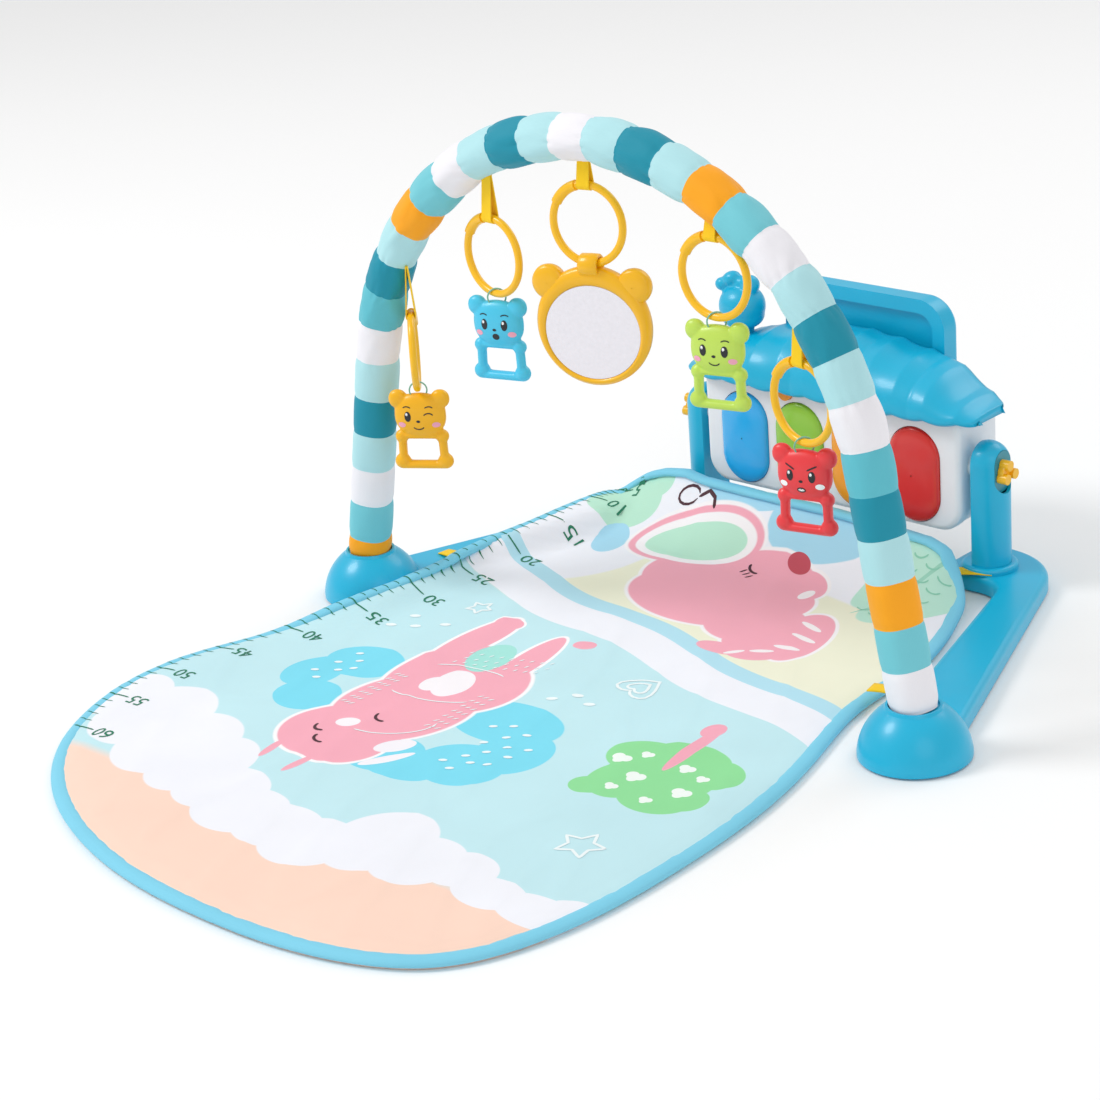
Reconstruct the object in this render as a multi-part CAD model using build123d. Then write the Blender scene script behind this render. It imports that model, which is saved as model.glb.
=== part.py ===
from build123d import *
from math import cos, pi, radians, sin, sqrt
import os

os.makedirs("parts", exist_ok=True)

# Activity play gym, in millimetres. X runs across the gym, Y from the baby's end of the mat
# to the piano, Z up. The pieces are drawn with the arch in the plane Y = 0, and save() then
# moves them so that the origin is at the bottom centre of the whole gym.

# Overall plan
mat_front_y = -429.1
piano_rear_y = 322.0
centre_shift = -(mat_front_y + piano_rear_y) / 2

# Base: two arms, each with a domed foot in front and a tower behind
foot_x = 258.3
foot_radius = 38.8
foot_height = 37.0
pad_height = 1.0
plate_top = 14.0
wall = 2.5
cover_thickness = 2.5
arm_corners = [(284, 3), (170, 312), (103, 312), (103, 249), (160, 249), (231, 3)]
arm_radii = [6, 60, 20, 8, 24, 6]
tower_x = 135.5
tower_y = 271.0
tower_radius = 16.5
tower_top = 115.0
tower_inner_x = 129.5
collar_radius = 21.5
pivot_z = 93.0
pivot_radius = 8.0
knob_plate_x = 147.0
knob_shaft_radius = 3.0
running_gap = 0.05

# Arch: a circle with two straight legs that lean outwards
arch_radius = 231.0
arch_centre_z = 159.0
leg_lean = 10.75
tube_radius = 12.5
tube_bore = 10.5
sleeve_radius = 16.3
sleeve_bore = 13.2
sleeve_foot_z = 34.0

# Hanging toys: name, X, Y, height of the ring's top, turn of the ring, turn of the toy
ring_radius = 27.75
ring_wire = 2.75
loop_radius = 6.5
loop_wire = 0.6
loop_turn = 44.0
tab_hole_z = 11.2
tab_hole_radius = 2.3
mirror_radius = 42.5
mirror_lug = 43.5
mirror_lug_radius = 8.0
mirror_lug_bore = 5.5
mirror_lug_half = 7.0
mirror_lug_drop = 1.2
toy_places = [
    ("yellow", -182.0, -5.0, 243.0, -46.0, 30.0),
    ("blue", -97.0, 0.0, 326.0, -6.0, 15.0),
    ("mirror", -4.0, 0.0, 361.0, 10.0, 18.0),
    ("green", 106.0, 0.0, 339.0, 0.0, 13.0),
    ("red", 169.0, 8.0, 260.0, -10.0, 12.0),
]

# Piano
piano_half_width = 122.0
piano_bottom = 42.0
piano_top = 140.0
piano_front_y = 252.0
split_y = 264.0
rear_face_y = 302.0
piano_corner = 20.0
key_pitch = 54.5
key_z = 84.0
key_width = 45.6
key_height = 75.6
key_gap = 0.5
roof_half_width = 140.0
roof_bottom = 136.0
roof_rise = 42.0
eave_y = 242.0
tray_half_width = 76.0
tray_top = 204.0
button_x = 39.0
button_z = 129.0
battery_width = 62.0
battery_height = 50.0

# Mat
mat_thickness = 6.0
mat_edge = [
    (30, -429), (134, -417), (192, -386), (222, -325), (232, -220), (226, -120), (208, -40), (190, 28),
    (187, 70), (180, 132), (152, 194), (128, 230), (96, 246), (60, 247), (0, 247), (-60, 247),
    (-112, 245), (-150, 244), (-180, 243), (-200, 230), (-208, 200), (-210, 150), (-215, 34),
    (-223, -20), (-245, -90), (-278, -165), (-283, -226), (-266, -282), (-239, -326), (-180, -377),
    (-121, -405), (-46, -424),
]


def save(name, shape):
    export_step(Pos(0, centre_shift, 0) * shape, f"parts/{name}.step")


def both_sides(shape):
    return shape, mirror(shape, about=Plane.YZ)


def group(shapes):
    joined = Part()
    for shape in shapes:
        joined += shape
    return joined


def along_y(sketch, y_front, y_back):
    """Extrude a sketch whose axes are X and Z from y_front back to y_back."""
    return Pos(0, y_back, 0) * (Rot(90, 0, 0) * extrude(sketch, y_back - y_front))


def rod_x(radius, x_low, x_high, y, z):
    return Pos((x_low + x_high) / 2, y, z) * (Rot(0, 90, 0) * Cylinder(radius, x_high - x_low))


def rod_y(radius, x, y_low, y_high, z):
    return Pos(x, (y_low + y_high) / 2, z) * (Rot(90, 0, 0) * Cylinder(radius, y_high - y_low))


def rod_z(radius, x, y, z_low, z_high):
    return Pos(x, y, (z_low + z_high) / 2) * Cylinder(radius, z_high - z_low)


def slab(x_low, x_high, y_low, y_high, z_low, z_high):
    middle = ((x_low + x_high) / 2, (y_low + y_high) / 2, (z_low + z_high) / 2)
    return Pos(*middle) * Box(x_high - x_low, y_high - y_low, z_high - z_low)


# ---------------------------------------------------------------- base

def arm_outline(inset=0.0):
    face = make_face(FilletPolyline(*arm_corners, radius=arm_radii, close=True).edges())
    return offset(face, -inset) if inset else face


def foot_dome(inset=0.0):
    """Solid of revolution of the domed foot, made smaller all round by inset."""
    base = foot_radius - inset
    top = foot_height - inset
    shoulder = 20.0 - inset
    outline = [
        Line((0, pad_height), (base, pad_height)),
        Line((base, pad_height), (base, 4)),
        ThreePointArc((base, 4), (base - 6.2, 22), (shoulder, top - 2)),
        Line((shoulder, top - 2), (shoulder - 1, top)),
        Line((shoulder - 1, top), (0, top)),
        Line((0, top), (0, pad_height)),
    ]
    profile = make_face([edge.edge() for edge in outline])
    return Pos(foot_x, 0, 0) * revolve(Plane.XZ * profile, Axis.Z)


def leg_rod(radius, z_low, z_high):
    """Cylinder on the right leg's centreline between two heights."""
    lean = radians(leg_lean)
    knee_x = arch_radius * cos(lean)
    knee_z = arch_centre_z + arch_radius * sin(lean)
    length = (z_high - z_low) / cos(lean)
    middle_z = (z_low + z_high) / 2
    middle_x = knee_x + (knee_z - middle_z) * sin(lean) / cos(lean)
    return Pos(middle_x, 0, middle_z) * (Rot(0, -leg_lean, 0) * Cylinder(radius, length))


def tower_section(inset=0.0):
    cut = Pos(tower_inner_x - tower_x + inset + 50, 0) * Rectangle(100, 100)
    return Circle(tower_radius - inset) & cut


base_screw_places = [(279.5, 7), (247.5, -7), (228, 92), (192, 200), (150, 300), (113, 258)]
base_pad_places = [(258, -26), (258, 26), (218, 130), (165, 285), (118, 295)]


def base_arm():
    plate = Pos(0, 0, pad_height) * extrude(arm_outline(), plate_top - pad_height)
    plate = fillet(plate.edges().group_by(Axis.Z)[-1], 5)
    collar = Pos(tower_x, tower_y, plate_top) * extrude(Circle(collar_radius), 5)
    collar = fillet(collar.edges().group_by(Axis.Z)[-1], 3)
    outside = plate + foot_dome() + collar
    hollow = Pos(0, 0, pad_height) * extrude(arm_outline(wall), plate_top - wall - pad_height)
    arm = outside - hollow - foot_dome(wall)
    boss_floor = pad_height + cover_thickness
    arm += leg_rod(16, boss_floor - 5, 30) & slab(200, 320, -30, 30, boss_floor, 60)
    arm += rod_z(19, foot_x, 0, 26, foot_height - 1)
    for x, y in base_screw_places:
        arm += rod_z(3.5, x, y, boss_floor, plate_top - wall + 0.5) - rod_z(1.45, x, y, 0, 9)
        arm -= rod_z(1.45, x, y, 0, 9)
    arm -= leg_rod(tube_radius + 0.1, boss_floor, 60)
    arm -= leg_rod(sleeve_radius + 0.9, sleeve_foot_z - 1, 60)
    seat = extrude(tower_section(-0.2), 10)
    return arm - Pos(tower_x, tower_y, plate_top) * seat


def base_cover():
    plate = extrude(arm_outline(wall + 0.2), cover_thickness)
    plate += Pos(foot_x, 0) * extrude(Circle(foot_radius - wall - 0.2), cover_thickness)
    cover = Pos(0, 0, pad_height) * plate
    for x, y in base_screw_places:
        cover -= rod_z(1.7, x, y, 0, 5)
        cover -= rod_z(3.1, x, y, 0, pad_height + 1.4)
    return cover


def base_screw(x, y):
    return rod_z(2.9, x, y, pad_height + 0.1, pad_height + 1.4) + rod_z(1.4, x, y, pad_height + 1.4, 8.5)


def tower():
    column = Pos(tower_x, tower_y, plate_top)
    straight = tower_top - tower_radius - plate_top
    outside = column * extrude(tower_section(), straight)
    ball = Pos(tower_x, tower_y, tower_top - tower_radius) * Sphere(tower_radius)
    right_of_face = slab(tower_inner_x, 200, 200, 340, 0, 200)
    outside += ball & right_of_face & slab(0, 200, 200, 340, tower_top - tower_radius, 200)
    inside = column * extrude(tower_section(wall), straight)
    inner_ball = Pos(tower_x, tower_y, tower_top - tower_radius) * Sphere(tower_radius - wall)
    inside += inner_ball & slab(tower_inner_x + wall, 200, 200, 340, tower_top - tower_radius, 200)
    shell = outside - inside
    knob_seat = rod_x(14, knob_plate_x - 3.5, 151, tower_y, pivot_z)
    shell += knob_seat & outside
    shell += rod_x(11, tower_inner_x, 139.5, tower_y, pivot_z)
    shell -= rod_x(pivot_radius + running_gap, 120, 138, tower_y, pivot_z)
    oval = along_x(SlotOverall(33, 21.5, rotation=90), knob_plate_x, 160)
    shell -= Pos(0, tower_y, pivot_z) * oval
    return shell - rod_x(knob_shaft_radius + running_gap, 140, 160, tower_y, pivot_z)


def along_x(sketch, x_low, x_high):
    """Extrude a sketch whose axes are Y and Z from x_low to x_high."""
    return Pos(x_low, 0, 0) * extrude(Plane.YZ * sketch, x_high - x_low)


def knob_plate():
    plate = along_x(SlotOverall(32.4, 20.9, rotation=90), knob_plate_x, knob_plate_x + 1)
    return Pos(0, tower_y, pivot_z) * plate - rod_x(knob_shaft_radius + 0.3, 140, 160, tower_y, pivot_z)


def lock_knob():
    hub = along_x(Circle(7), knob_plate_x + 1.3, knob_plate_x + 6)
    for turn in (100, 220, 340):
        lobe = Pos(6 * cos(radians(turn)), 6 * sin(radians(turn))) * Circle(4)
        hub += along_x(lobe, knob_plate_x + 1.3, knob_plate_x + 9)
    knob = Pos(0, tower_y, pivot_z) * hub
    knob += rod_x(knob_shaft_radius, knob_plate_x - 5, knob_plate_x + 2, tower_y, pivot_z)
    return knob + rod_x(5, knob_plate_x - 6.5, knob_plate_x - 3.8, tower_y, pivot_z)


# ---------------------------------------------------------------- arch

def arch_half(outer, inner, foot_z):
    """Right half of a hollow tube on the arch's centreline, from the top to foot_z."""
    lean = radians(leg_lean)
    ring = Circle(outer) - Circle(inner)
    crown = Pos(0, 0, arch_centre_z) * revolve(
        Plane(origin=(arch_radius, 0, 0), x_dir=(1, 0, 0), z_dir=(0, 0, 1)) * ring,
        Axis((0, 0, 0), (0, -1, 0)), revolution_arc=90)
    crown = crown - rotate_slab(lean)
    knee_z = arch_centre_z + arch_radius * sin(lean)
    leg = leg_rod(outer, foot_z, knee_z) - leg_rod(inner, foot_z - 1, knee_z + 1)
    return crown + leg


def rotate_slab(lean):
    """Block below the line where the crown's arc meets the straight leg."""
    block = Pos(arch_radius, 0, -100) * Box(120, 80, 200)
    return Pos(0, 0, arch_centre_z) * (Rot(0, -leg_lean, 0) * block)


def arch_coupler():
    plug = Pos(0, 0, arch_centre_z) * revolve(
        Plane(origin=(arch_radius, 0, 0), x_dir=(1, 0, 0), z_dir=(0, 0, 1)) * Circle(tube_bore - 0.1),
        Axis((0, 0, 0), (0, -1, 0)), revolution_arc=180)
    return plug & slab(-30, 30, -20, 20, arch_centre_z, 450)


# ---------------------------------------------------------------- toys

def placed(shape, x, y, z, turn):
    return Pos(x, y, z) * (Rot(0, 0, turn) * shape)


def sleeve_underside(x):
    inner = arch_radius - sleeve_radius
    return arch_centre_z + sqrt(inner * inner - x * x)


def toy_ring():
    """Ring in the XZ plane about its centre, with the thick clasp near its top."""
    ring = Rot(90, 0, 0) * Torus(ring_radius, ring_wire)
    clasp_section = Plane(origin=(ring_radius, 0, 0), x_dir=(1, 0, 0), z_dir=(0, 0, 1)) * Circle(3.8)
    clasp = revolve(clasp_section, Axis((0, 0, 0), (0, -1, 0)), revolution_arc=44)
    return ring + Rot(0, -106, 0) * clasp


def strap(rise):
    """Flat loop round the ring's wire, in the YZ plane at the wire's centre, going up by rise."""
    outer = Pos(0, rise / 2) * SlotOverall(rise + 9.6, 9.6, rotation=90)
    inner = Pos(0, rise / 2) * SlotOverall(rise + 7.2, 7.2, rotation=90)
    return Pos(-4, 0, 0) * extrude(Plane.YZ * (outer - inner), 8)


def bear_outline(inset=0.0):
    shape = Ellipse(19.8 - inset, 17 - inset)
    for side in (-1, 1):
        shape += Pos(16.3 * side, 12.5) * Circle(7.2 - inset)
        shape += Pos(15.6 * side, -17) * Circle(5.2 - inset)
        shape += Pos(16.2 * side, -27) * Rectangle(5.8 - 2 * inset, 22)
        shape += Pos(16.6 * side, -36.5) * Circle(6.1 - inset)
    shape += Pos(0, -39) * Rectangle(34, 5.6 - 2 * inset)
    top = 9.2 + inset
    low = 13.2 + inset
    window = Polygon((-top, -15.5), (top, -15.5), (low, -36), (-low, -36), align=None)
    return shape - fillet(window.vertices(), 4)


def bear_half(front):
    """Front or back half shell, in the XZ plane about the centre of the head."""
    half = extrude(bear_outline(), 4.8) + extrude(bear_outline(1.2), 6.5)
    half -= Pos(0, -5) * extrude(Ellipse(13.4, 9), 4.5)
    half -= slab(-8, 8, 7.6, 20, -4, 4)
    half = Rot(90, 0, 0) * half
    if front:
        return half
    tab = slab(-1.25, 1.25, -3.8, 4.2, 7, tab_hole_z + tab_hole_radius + 1.3)
    tab -= rod_x(tab_hole_radius, -2, 2, 0, tab_hole_z)
    return mirror(half, about=Plane.XZ) + (tab - slab(-2, 2, -4, 0, 5, 7.8))


def bead_cluster():
    beads = Part()
    for x in (-6, 0, 6):
        beads += Pos(x, 0, -9) * Sphere(2.2)
    return beads


def mirror_frame():
    """Bear-shaped frame in the XZ plane about its centre, closed at the back."""
    shape = Circle(mirror_radius)
    for side in (-1, 1):
        shape += Pos(32 * side, 30) * Circle(12.5)
    body = extrude(shape, 5, both=True)
    body -= Pos(0, -4, 2) * extrude(Ellipse(35.9, 33.9), 10)
    reach = mirror_lug_half
    lug = slab(-reach, reach, -5, 5, mirror_lug - 9, mirror_lug)
    lug += rod_x(mirror_lug_radius, -reach, reach, 0, mirror_lug)
    return Rot(90, 0, 0) * body + lug - rod_x(mirror_lug_bore, -reach - 2, reach + 2, 0, mirror_lug)


def mirror_disc():
    return Rot(90, 0, 0) * (Pos(0, -4, 2) * extrude(Ellipse(35.6, 33.6), 2))


def toys():
    for name, x, y, top, ring_turn, toy_turn in toy_places:
        wire_top = top - ring_wire
        ring_centre = wire_top - ring_radius
        wire_bottom = ring_centre - ring_radius
        save(f"ring_{name}", placed(toy_ring(), x, y, ring_centre, ring_turn))
        reach = sleeve_underside(abs(x) + 4) - 0.4 - wire_top
        save(f"strap_{name}", placed(strap(reach - 4.8), x, y, wire_top, ring_turn))
        if name == "mirror":
            centre = wire_bottom - mirror_lug_drop - mirror_lug
            save("mirror_frame", placed(mirror_frame(), x, y, centre, toy_turn))
            save("mirror_disc", placed(mirror_disc(), x, y, centre, toy_turn))
            continue
        loop_centre = wire_bottom + ring_wire + loop_wire + 0.15 - loop_radius
        loop = Rot(90, 0, 0) * Torus(loop_radius, loop_wire)
        head = loop_centre - loop_radius - tab_hole_z - tab_hole_radius + loop_wire + 0.35
        save(f"loop_{name}", placed(loop, x, y, loop_centre, loop_turn))
        save(f"bear_{name}_front", placed(bear_half(True), x, y, head, toy_turn))
        save(f"bear_{name}_back", placed(bear_half(False), x, y, head, toy_turn))
        save(f"beads_{name}", placed(bead_cluster(), x, y, head, toy_turn))


# ---------------------------------------------------------------- piano

def cover_outline(inset=0.0):
    width = 2 * (piano_half_width - inset)
    height = piano_top - piano_bottom - 2 * inset
    shape = Pos(0, (piano_top + piano_bottom) / 2) * Rectangle(width, height)
    low = shape.vertices().group_by(Axis.Y)[0]
    return fillet(low, piano_corner - inset)


def key_slot(extra=0.0):
    return SlotOverall(key_height + extra, key_width + extra, rotation=90)


key_centres = [key_pitch * (index - 1.5) for index in range(4)]
piano_screw_places = [(-112, 58), (112, 58), (-112, 128), (112, 128), (0, 131)]


def piano_front():
    shell = along_y(cover_outline(), piano_front_y, split_y)
    shell = fillet(shell.edges().group_by(Axis.Y)[0], 5)
    shell -= along_y(cover_outline(wall), piano_front_y + wall, split_y)
    for x in key_centres:
        shell -= along_y(Pos(x, key_z) * key_slot(2 * key_gap), piano_front_y - 1, piano_front_y + 5)
    for x in (-button_x, button_x):
        shell -= rod_y(6.8, x, piano_front_y - 1, piano_front_y + 5, button_z)
    shell -= rod_x(pivot_radius + 0.3, -130, 130, tower_y, pivot_z)
    for x, z in piano_screw_places:
        shell += rod_y(4, x, piano_front_y + 2, split_y, z)
        shell -= rod_y(1.45, x, piano_front_y + 5, split_y, z)
    return shell


def piano_rear():
    shell = along_y(cover_outline(1), split_y, rear_face_y)
    shell -= along_y(cover_outline(1 + wall), split_y, rear_face_y - wall)
    pocket = Pos(0, key_z) * Rectangle(battery_width + 4, battery_height + 4)
    shell += along_y(pocket, 279, rear_face_y)
    shell -= along_y(Pos(0, key_z) * Rectangle(battery_width, battery_height), 281, rear_face_y)
    for x, z in piano_screw_places:
        shell += rod_y(4, x, split_y, rear_face_y - 1, z)
        shell -= rod_y(1.6, x, split_y, rear_face_y, z)
        shell -= rod_y(3.2, x, rear_face_y - 2.2, rear_face_y, z)
    for x in (-95, 95):
        for z in (64, 104):
            shell += rod_y(3, x, 269.6, rear_face_y - wall, z)
    for turn in range(6):
        hole_x = -72 + 9 * cos(turn * pi / 3)
        shell -= rod_y(2, hole_x, 290, rear_face_y + 1, key_z + 9 * sin(turn * pi / 3))
    shell -= slab(65, 79, 290, rear_face_y + 1, 96.5, 103.5)
    for x_low, x_high in ((-137.5, -120.5), (120.5, 137.5)):
        shell += rod_x(pivot_radius, x_low, x_high, tower_y, pivot_z)
    return shell


def piano_key(x):
    cap = along_y(Pos(x, key_z) * key_slot(), 248.5, 257)
    cap = fillet(cap.edges().group_by(Axis.Y)[0], 3)
    cap += along_y(Pos(x, key_z) * SlotOverall(78, 49, rotation=90), 255.5, 258)
    cap -= along_y(Pos(x, key_z) * key_slot(-5), 251.5, 258)
    return cap + rod_y(5, x, 251, 259.8, key_z)


def contact_pads():
    return group(rod_y(6, x, 264.5, 268, key_z) for x in key_centres)


def push_button(x):
    return rod_y(6.5, x, 249, 255, button_z) + rod_y(8, x, 255, 256.8, button_z)


def speaker():
    cone = rod_y(20, -72, 296, rear_face_y - wall, key_z)
    return cone + rod_y(12, -72, 286, 296, key_z)


def power_switch():
    return slab(60, 78, 298, 299.2, 94, 106) + slab(65.6, 73.1, 299.2, 304, 96.9, 103.1)


def battery_cells():
    cells = (rod_x(7, -25, 25, 290.2, key_z + 15.5 * row) for row in (-1, 0, 1))
    return group(cells)


def piano_screw(x, z):
    return rod_y(2.9, x, 300, 301.8, z) + rod_y(1.4, x, 258, 300, z)


def roof():
    """Canopy: an elliptical front view crossed with a rounded side view, hollow below."""
    front_view = Pos(0, roof_bottom) * Ellipse(roof_half_width, roof_rise)
    front_view = front_view & Pos(0, roof_bottom + 50) * Rectangle(400, 100)
    canopy = along_y(front_view, 230, 301.7) & roof_side(0)
    thin = Pos(0, piano_top) * Ellipse(118, 34) & Pos(0, piano_top + 50) * Rectangle(400, 100)
    hollow = along_y(thin, 255.5, 298) & roof_side(3)
    ledge = slab(-122.3, 122.3, 251.7, 310, 100, piano_top)
    canopy = canopy - ledge - hollow
    bud = Pos(-101, 279, 183) * Sphere(18.5)
    bud += rod_z(8, -101, 279, 155, 175) - hollow
    for x, z, size in ((-112, 202, 8.5), (-90, 201, 8.5), (-101, 206, 8)):
        bud += Pos(x, 279, z) * Sphere(size)
    return canopy + bud


def roof_side(inset):
    low = roof_bottom + inset if inset else roof_bottom
    ridge = roof_bottom + roof_rise - inset
    front = eave_y + inset
    edges = [
        Line((front, low), (301.7, low)),
        Line((301.7, low), (301.7, ridge)),
        Line((301.7, ridge), (288, ridge)),
        ThreePointArc((288, ridge), (258 + 0.6 * inset, 163 - 0.8 * inset), (front, low + 3)),
        Line((front, low + 3), (front, low)),
    ]
    profile = make_face([edge.edge() for edge in edges])
    return Pos(-160, 0, 0) * extrude(Plane.YZ * profile, 320)


def tray_panel():
    centre = Pos(0, (118 + tray_top) / 2)
    height = tray_top - 118
    plate = along_y(centre * RectangleRounded(2 * tray_half_width, height, 24), rear_face_y, piano_rear_y)
    plate = fillet(plate.edges().group_by(Axis.Y)[-1], 6)
    inner = centre * RectangleRounded(2 * tray_half_width - 22, height - 22, 14)
    plate -= along_y(inner, rear_face_y - 1, rear_face_y + 6)
    return plate - along_y(inner, rear_face_y + 8.5, piano_rear_y - 2.5)


# ---------------------------------------------------------------- mat

def mat():
    """Padded mat: flat on the floor, over both arms at its edges, and folded up by the piano."""
    outline = make_face(Spline(*mat_edge, periodic=True).edge())
    clear = Sketch()
    step = Sketch()
    shelf = Sketch()
    for face in both_sides(arm_outline(-3)):
        clear += face
    for face in both_sides(arm_outline(-8)):
        step += face
    for side in (-1, 1):
        clear += Pos(side * foot_x, 0) * Circle(foot_radius + 3)
        shelf += Pos(side * foot_x, 0) * Circle(foot_radius + 3)
        shelf += Pos(side * tower_x, tower_y) * Circle(collar_radius + 4)
    flat = extrude(outline - clear, mat_thickness)
    shelf_bottom = plate_top + 0.5
    flap = Pos(0, 0, shelf_bottom) * extrude((outline & step) - shelf, mat_thickness)
    web = extrude((outline & step) - clear - shelf, shelf_bottom + mat_thickness)
    rear_fold = rod_x(9, -165, 62, 235, 26)
    rise = slab(-120, 62, 229, 241, 0, 26)
    return flat + flap + web + rise + rear_fold


# ---------------------------------------------------------------- assembly

arm_right, arm_left = both_sides(base_arm())
save("base_arm_right", arm_right)
save("base_arm_left", arm_left)
cover = base_cover()
save("base_covers", group(both_sides(cover)))
right_screws = group(base_screw(x, y) for x, y in base_screw_places)
save("base_screws", group(both_sides(right_screws)))
right_pads = group(rod_z(5, x, y, 0, pad_height) for x, y in base_pad_places)
save("rubber_pads", group(both_sides(right_pads)))
tower_right, tower_left = both_sides(tower())
save("tower_right", tower_right)
save("tower_left", tower_left)
save("knob_plates", group(both_sides(knob_plate())))
knob_right, knob_left = both_sides(lock_knob())
save("lock_knob_right", knob_right)
save("lock_knob_left", knob_left)

tube_foot_z = 6.5
tube_right, tube_left = both_sides(arch_half(tube_radius, tube_bore, tube_foot_z))
save("arch_tube_right", tube_right)
save("arch_tube_left", tube_left)
save("arch_coupler", arch_coupler())
sleeve_half = arch_half(sleeve_radius, sleeve_bore, sleeve_foot_z)
save("arch_sleeve", group(both_sides(sleeve_half)))
toys()

save("piano_front", piano_front())
save("piano_rear", piano_rear())
for colour, x in zip(("blue", "green", "yellow", "red"), key_centres):
    save(f"key_{colour}", piano_key(x))
save("contact_board", slab(-107, 107, 268, 269.6, key_z - 25, key_z + 25))
save("contact_pads", contact_pads())
save("mode_button", push_button(-button_x))
save("volume_button", push_button(button_x))
save("speaker", speaker())
save("power_switch", power_switch())
save("battery_door", slab(-30.7, 30.7, 300, 302, key_z - 24.7, key_z + 24.7))
save("batteries", battery_cells())
save("piano_screws", group(piano_screw(x, z) for x, z in piano_screw_places))
save("roof_canopy", roof())
save("tray_panel", tray_panel())
save("mat", mat())
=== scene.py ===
"""Looks for the activity play gym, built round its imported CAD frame.

Lengths below are in millimetres in the arch's own frame: X = 0 is the middle of the gym, Y = 0
is the plane of the arch and Z = 0 is the floor. place() turns them into the row frame's metres.
"""

import math

import bpy
import numpy as np
from mathutils import Matrix, Vector, noise
from mathutils.bvhtree import BVHTree
from mathutils.geometry import delaunay_2d_cdt


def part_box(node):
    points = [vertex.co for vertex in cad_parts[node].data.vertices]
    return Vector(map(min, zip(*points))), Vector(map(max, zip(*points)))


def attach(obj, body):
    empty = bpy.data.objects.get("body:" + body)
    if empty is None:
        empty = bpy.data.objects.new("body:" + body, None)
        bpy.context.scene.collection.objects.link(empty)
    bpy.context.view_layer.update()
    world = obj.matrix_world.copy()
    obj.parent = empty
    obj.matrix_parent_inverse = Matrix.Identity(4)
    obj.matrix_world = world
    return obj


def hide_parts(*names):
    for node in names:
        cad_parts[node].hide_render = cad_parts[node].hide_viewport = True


MM = 0.001
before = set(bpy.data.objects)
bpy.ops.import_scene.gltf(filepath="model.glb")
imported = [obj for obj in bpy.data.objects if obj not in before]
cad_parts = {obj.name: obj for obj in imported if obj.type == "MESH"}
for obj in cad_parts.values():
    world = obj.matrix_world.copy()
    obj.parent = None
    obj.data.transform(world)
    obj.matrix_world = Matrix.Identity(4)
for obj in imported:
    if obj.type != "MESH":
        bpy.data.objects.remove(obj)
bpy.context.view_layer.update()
sleeve_low, sleeve_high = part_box("arch_sleeve")
ARCH_Y = (sleeve_low.y + sleeve_high.y) / 2


def place(x, y, z):
    return Vector((x * MM, y * MM + ARCH_Y, z * MM))


# ---------------------------------------------------------------- colours

def colour(text):
    """Linear colour from a six-digit sRGB hex string."""
    values = [int(text[i:i + 2], 16) / 255 for i in (0, 2, 4)]
    return [v / 12.92 if v <= 0.04045 else ((v + 0.055) / 1.055) ** 2.4 for v in values] + [1.0]


BLUE = "00B4DC"
WHITE = "EEF0F4"
RING_YELLOW = "FCC000"
MIRROR_YELLOW = "FABB00"
STRAP_YELLOW = "FFD000"
TEAL = "0090A8"
AQUA = "74CBD7"
MID_AQUA = "5DBFCE"
PALE_AQUA = "B4E4EA"
STRIPE_ORANGE = "FFA800"
SKY_FIELD = "C4EAF1"
PEACH = "FDD9C6"
CLOUD = "F4F5FC"
PINK = "F8ACBD"
BUSH = "7ADDF3"
TREE = "8FE09A"
CREAM = "F3F3DA"
RIVER_EDGE = "B5E3F2"
MINT = "BDEBD3"
BINDING = "7FD2EC"
INK_GREEN = "157A5A"


# ---------------------------------------------------------------- materials

def new_material(name):
    material = bpy.data.materials.new(name)
    material.use_nodes = True
    return material, material.node_tree, material.node_tree.nodes["Principled BSDF"]


def set_inputs(tree, node, inputs):
    """Give a node's inputs their values, or links where the value is a socket."""
    for key, value in inputs.items():
        if isinstance(value, bpy.types.NodeSocket):
            tree.links.new(value, node.inputs[key])
        else:
            node.inputs[key].default_value = value


def add_node(tree, kind, inputs=None, **settings):
    node = tree.nodes.new(kind)
    for key, value in settings.items():
        setattr(node, key, value)
    set_inputs(tree, node, inputs or {})
    return node


def noise_node(tree, scale, detail=3.0):
    where = add_node(tree, "ShaderNodeTexCoord").outputs["Object"]
    return add_node(tree, "ShaderNodeTexNoise", {"Vector": where, "Scale": scale, "Detail": detail})


def spread(tree, source, low, high):
    """Map a 0-1 value to low-high."""
    node = add_node(tree, "ShaderNodeMapRange", {"Value": source, "To Min": low, "To Max": high})
    return node.outputs["Result"]


def tinted(tree, base, factor):
    """Colour, or colour socket, times a value socket."""
    if not isinstance(base, bpy.types.NodeSocket):
        base = base[:3]
    node = add_node(tree, "ShaderNodeVectorMath", {0: base, "Scale": factor}, operation="SCALE")
    return node.outputs["Vector"]


def bump_normal(tree, strength, distance, height):
    inputs = {"Strength": strength, "Distance": distance, "Height": height}
    node = add_node(tree, "ShaderNodeBump", inputs)
    return node.outputs["Normal"]


def plastic(name, text, roughness=0.3, coat=0.2, grain=0.02):
    """Moulded plastic: slight colour drift, fine surface grain and a clear gloss."""
    material, tree, shader = new_material(name)
    drift = noise_node(tree, 22.0, 4.0).outputs["Fac"]
    fine = noise_node(tree, 900.0, 2.0).outputs["Fac"]
    set_inputs(tree, shader, {
        "Base Color": tinted(tree, colour(text), spread(tree, drift, 0.94, 1.06)),
        "Roughness": spread(tree, drift, roughness - 0.05, roughness + 0.07),
        "Normal": bump_normal(tree, grain, 0.0006, fine),
        "Coat Weight": coat,
        "Coat Roughness": 0.12,
    })
    return material


BANDS_PER_THREAD = 0.31  # scale of a band wave whose wavelength is one unit


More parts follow.
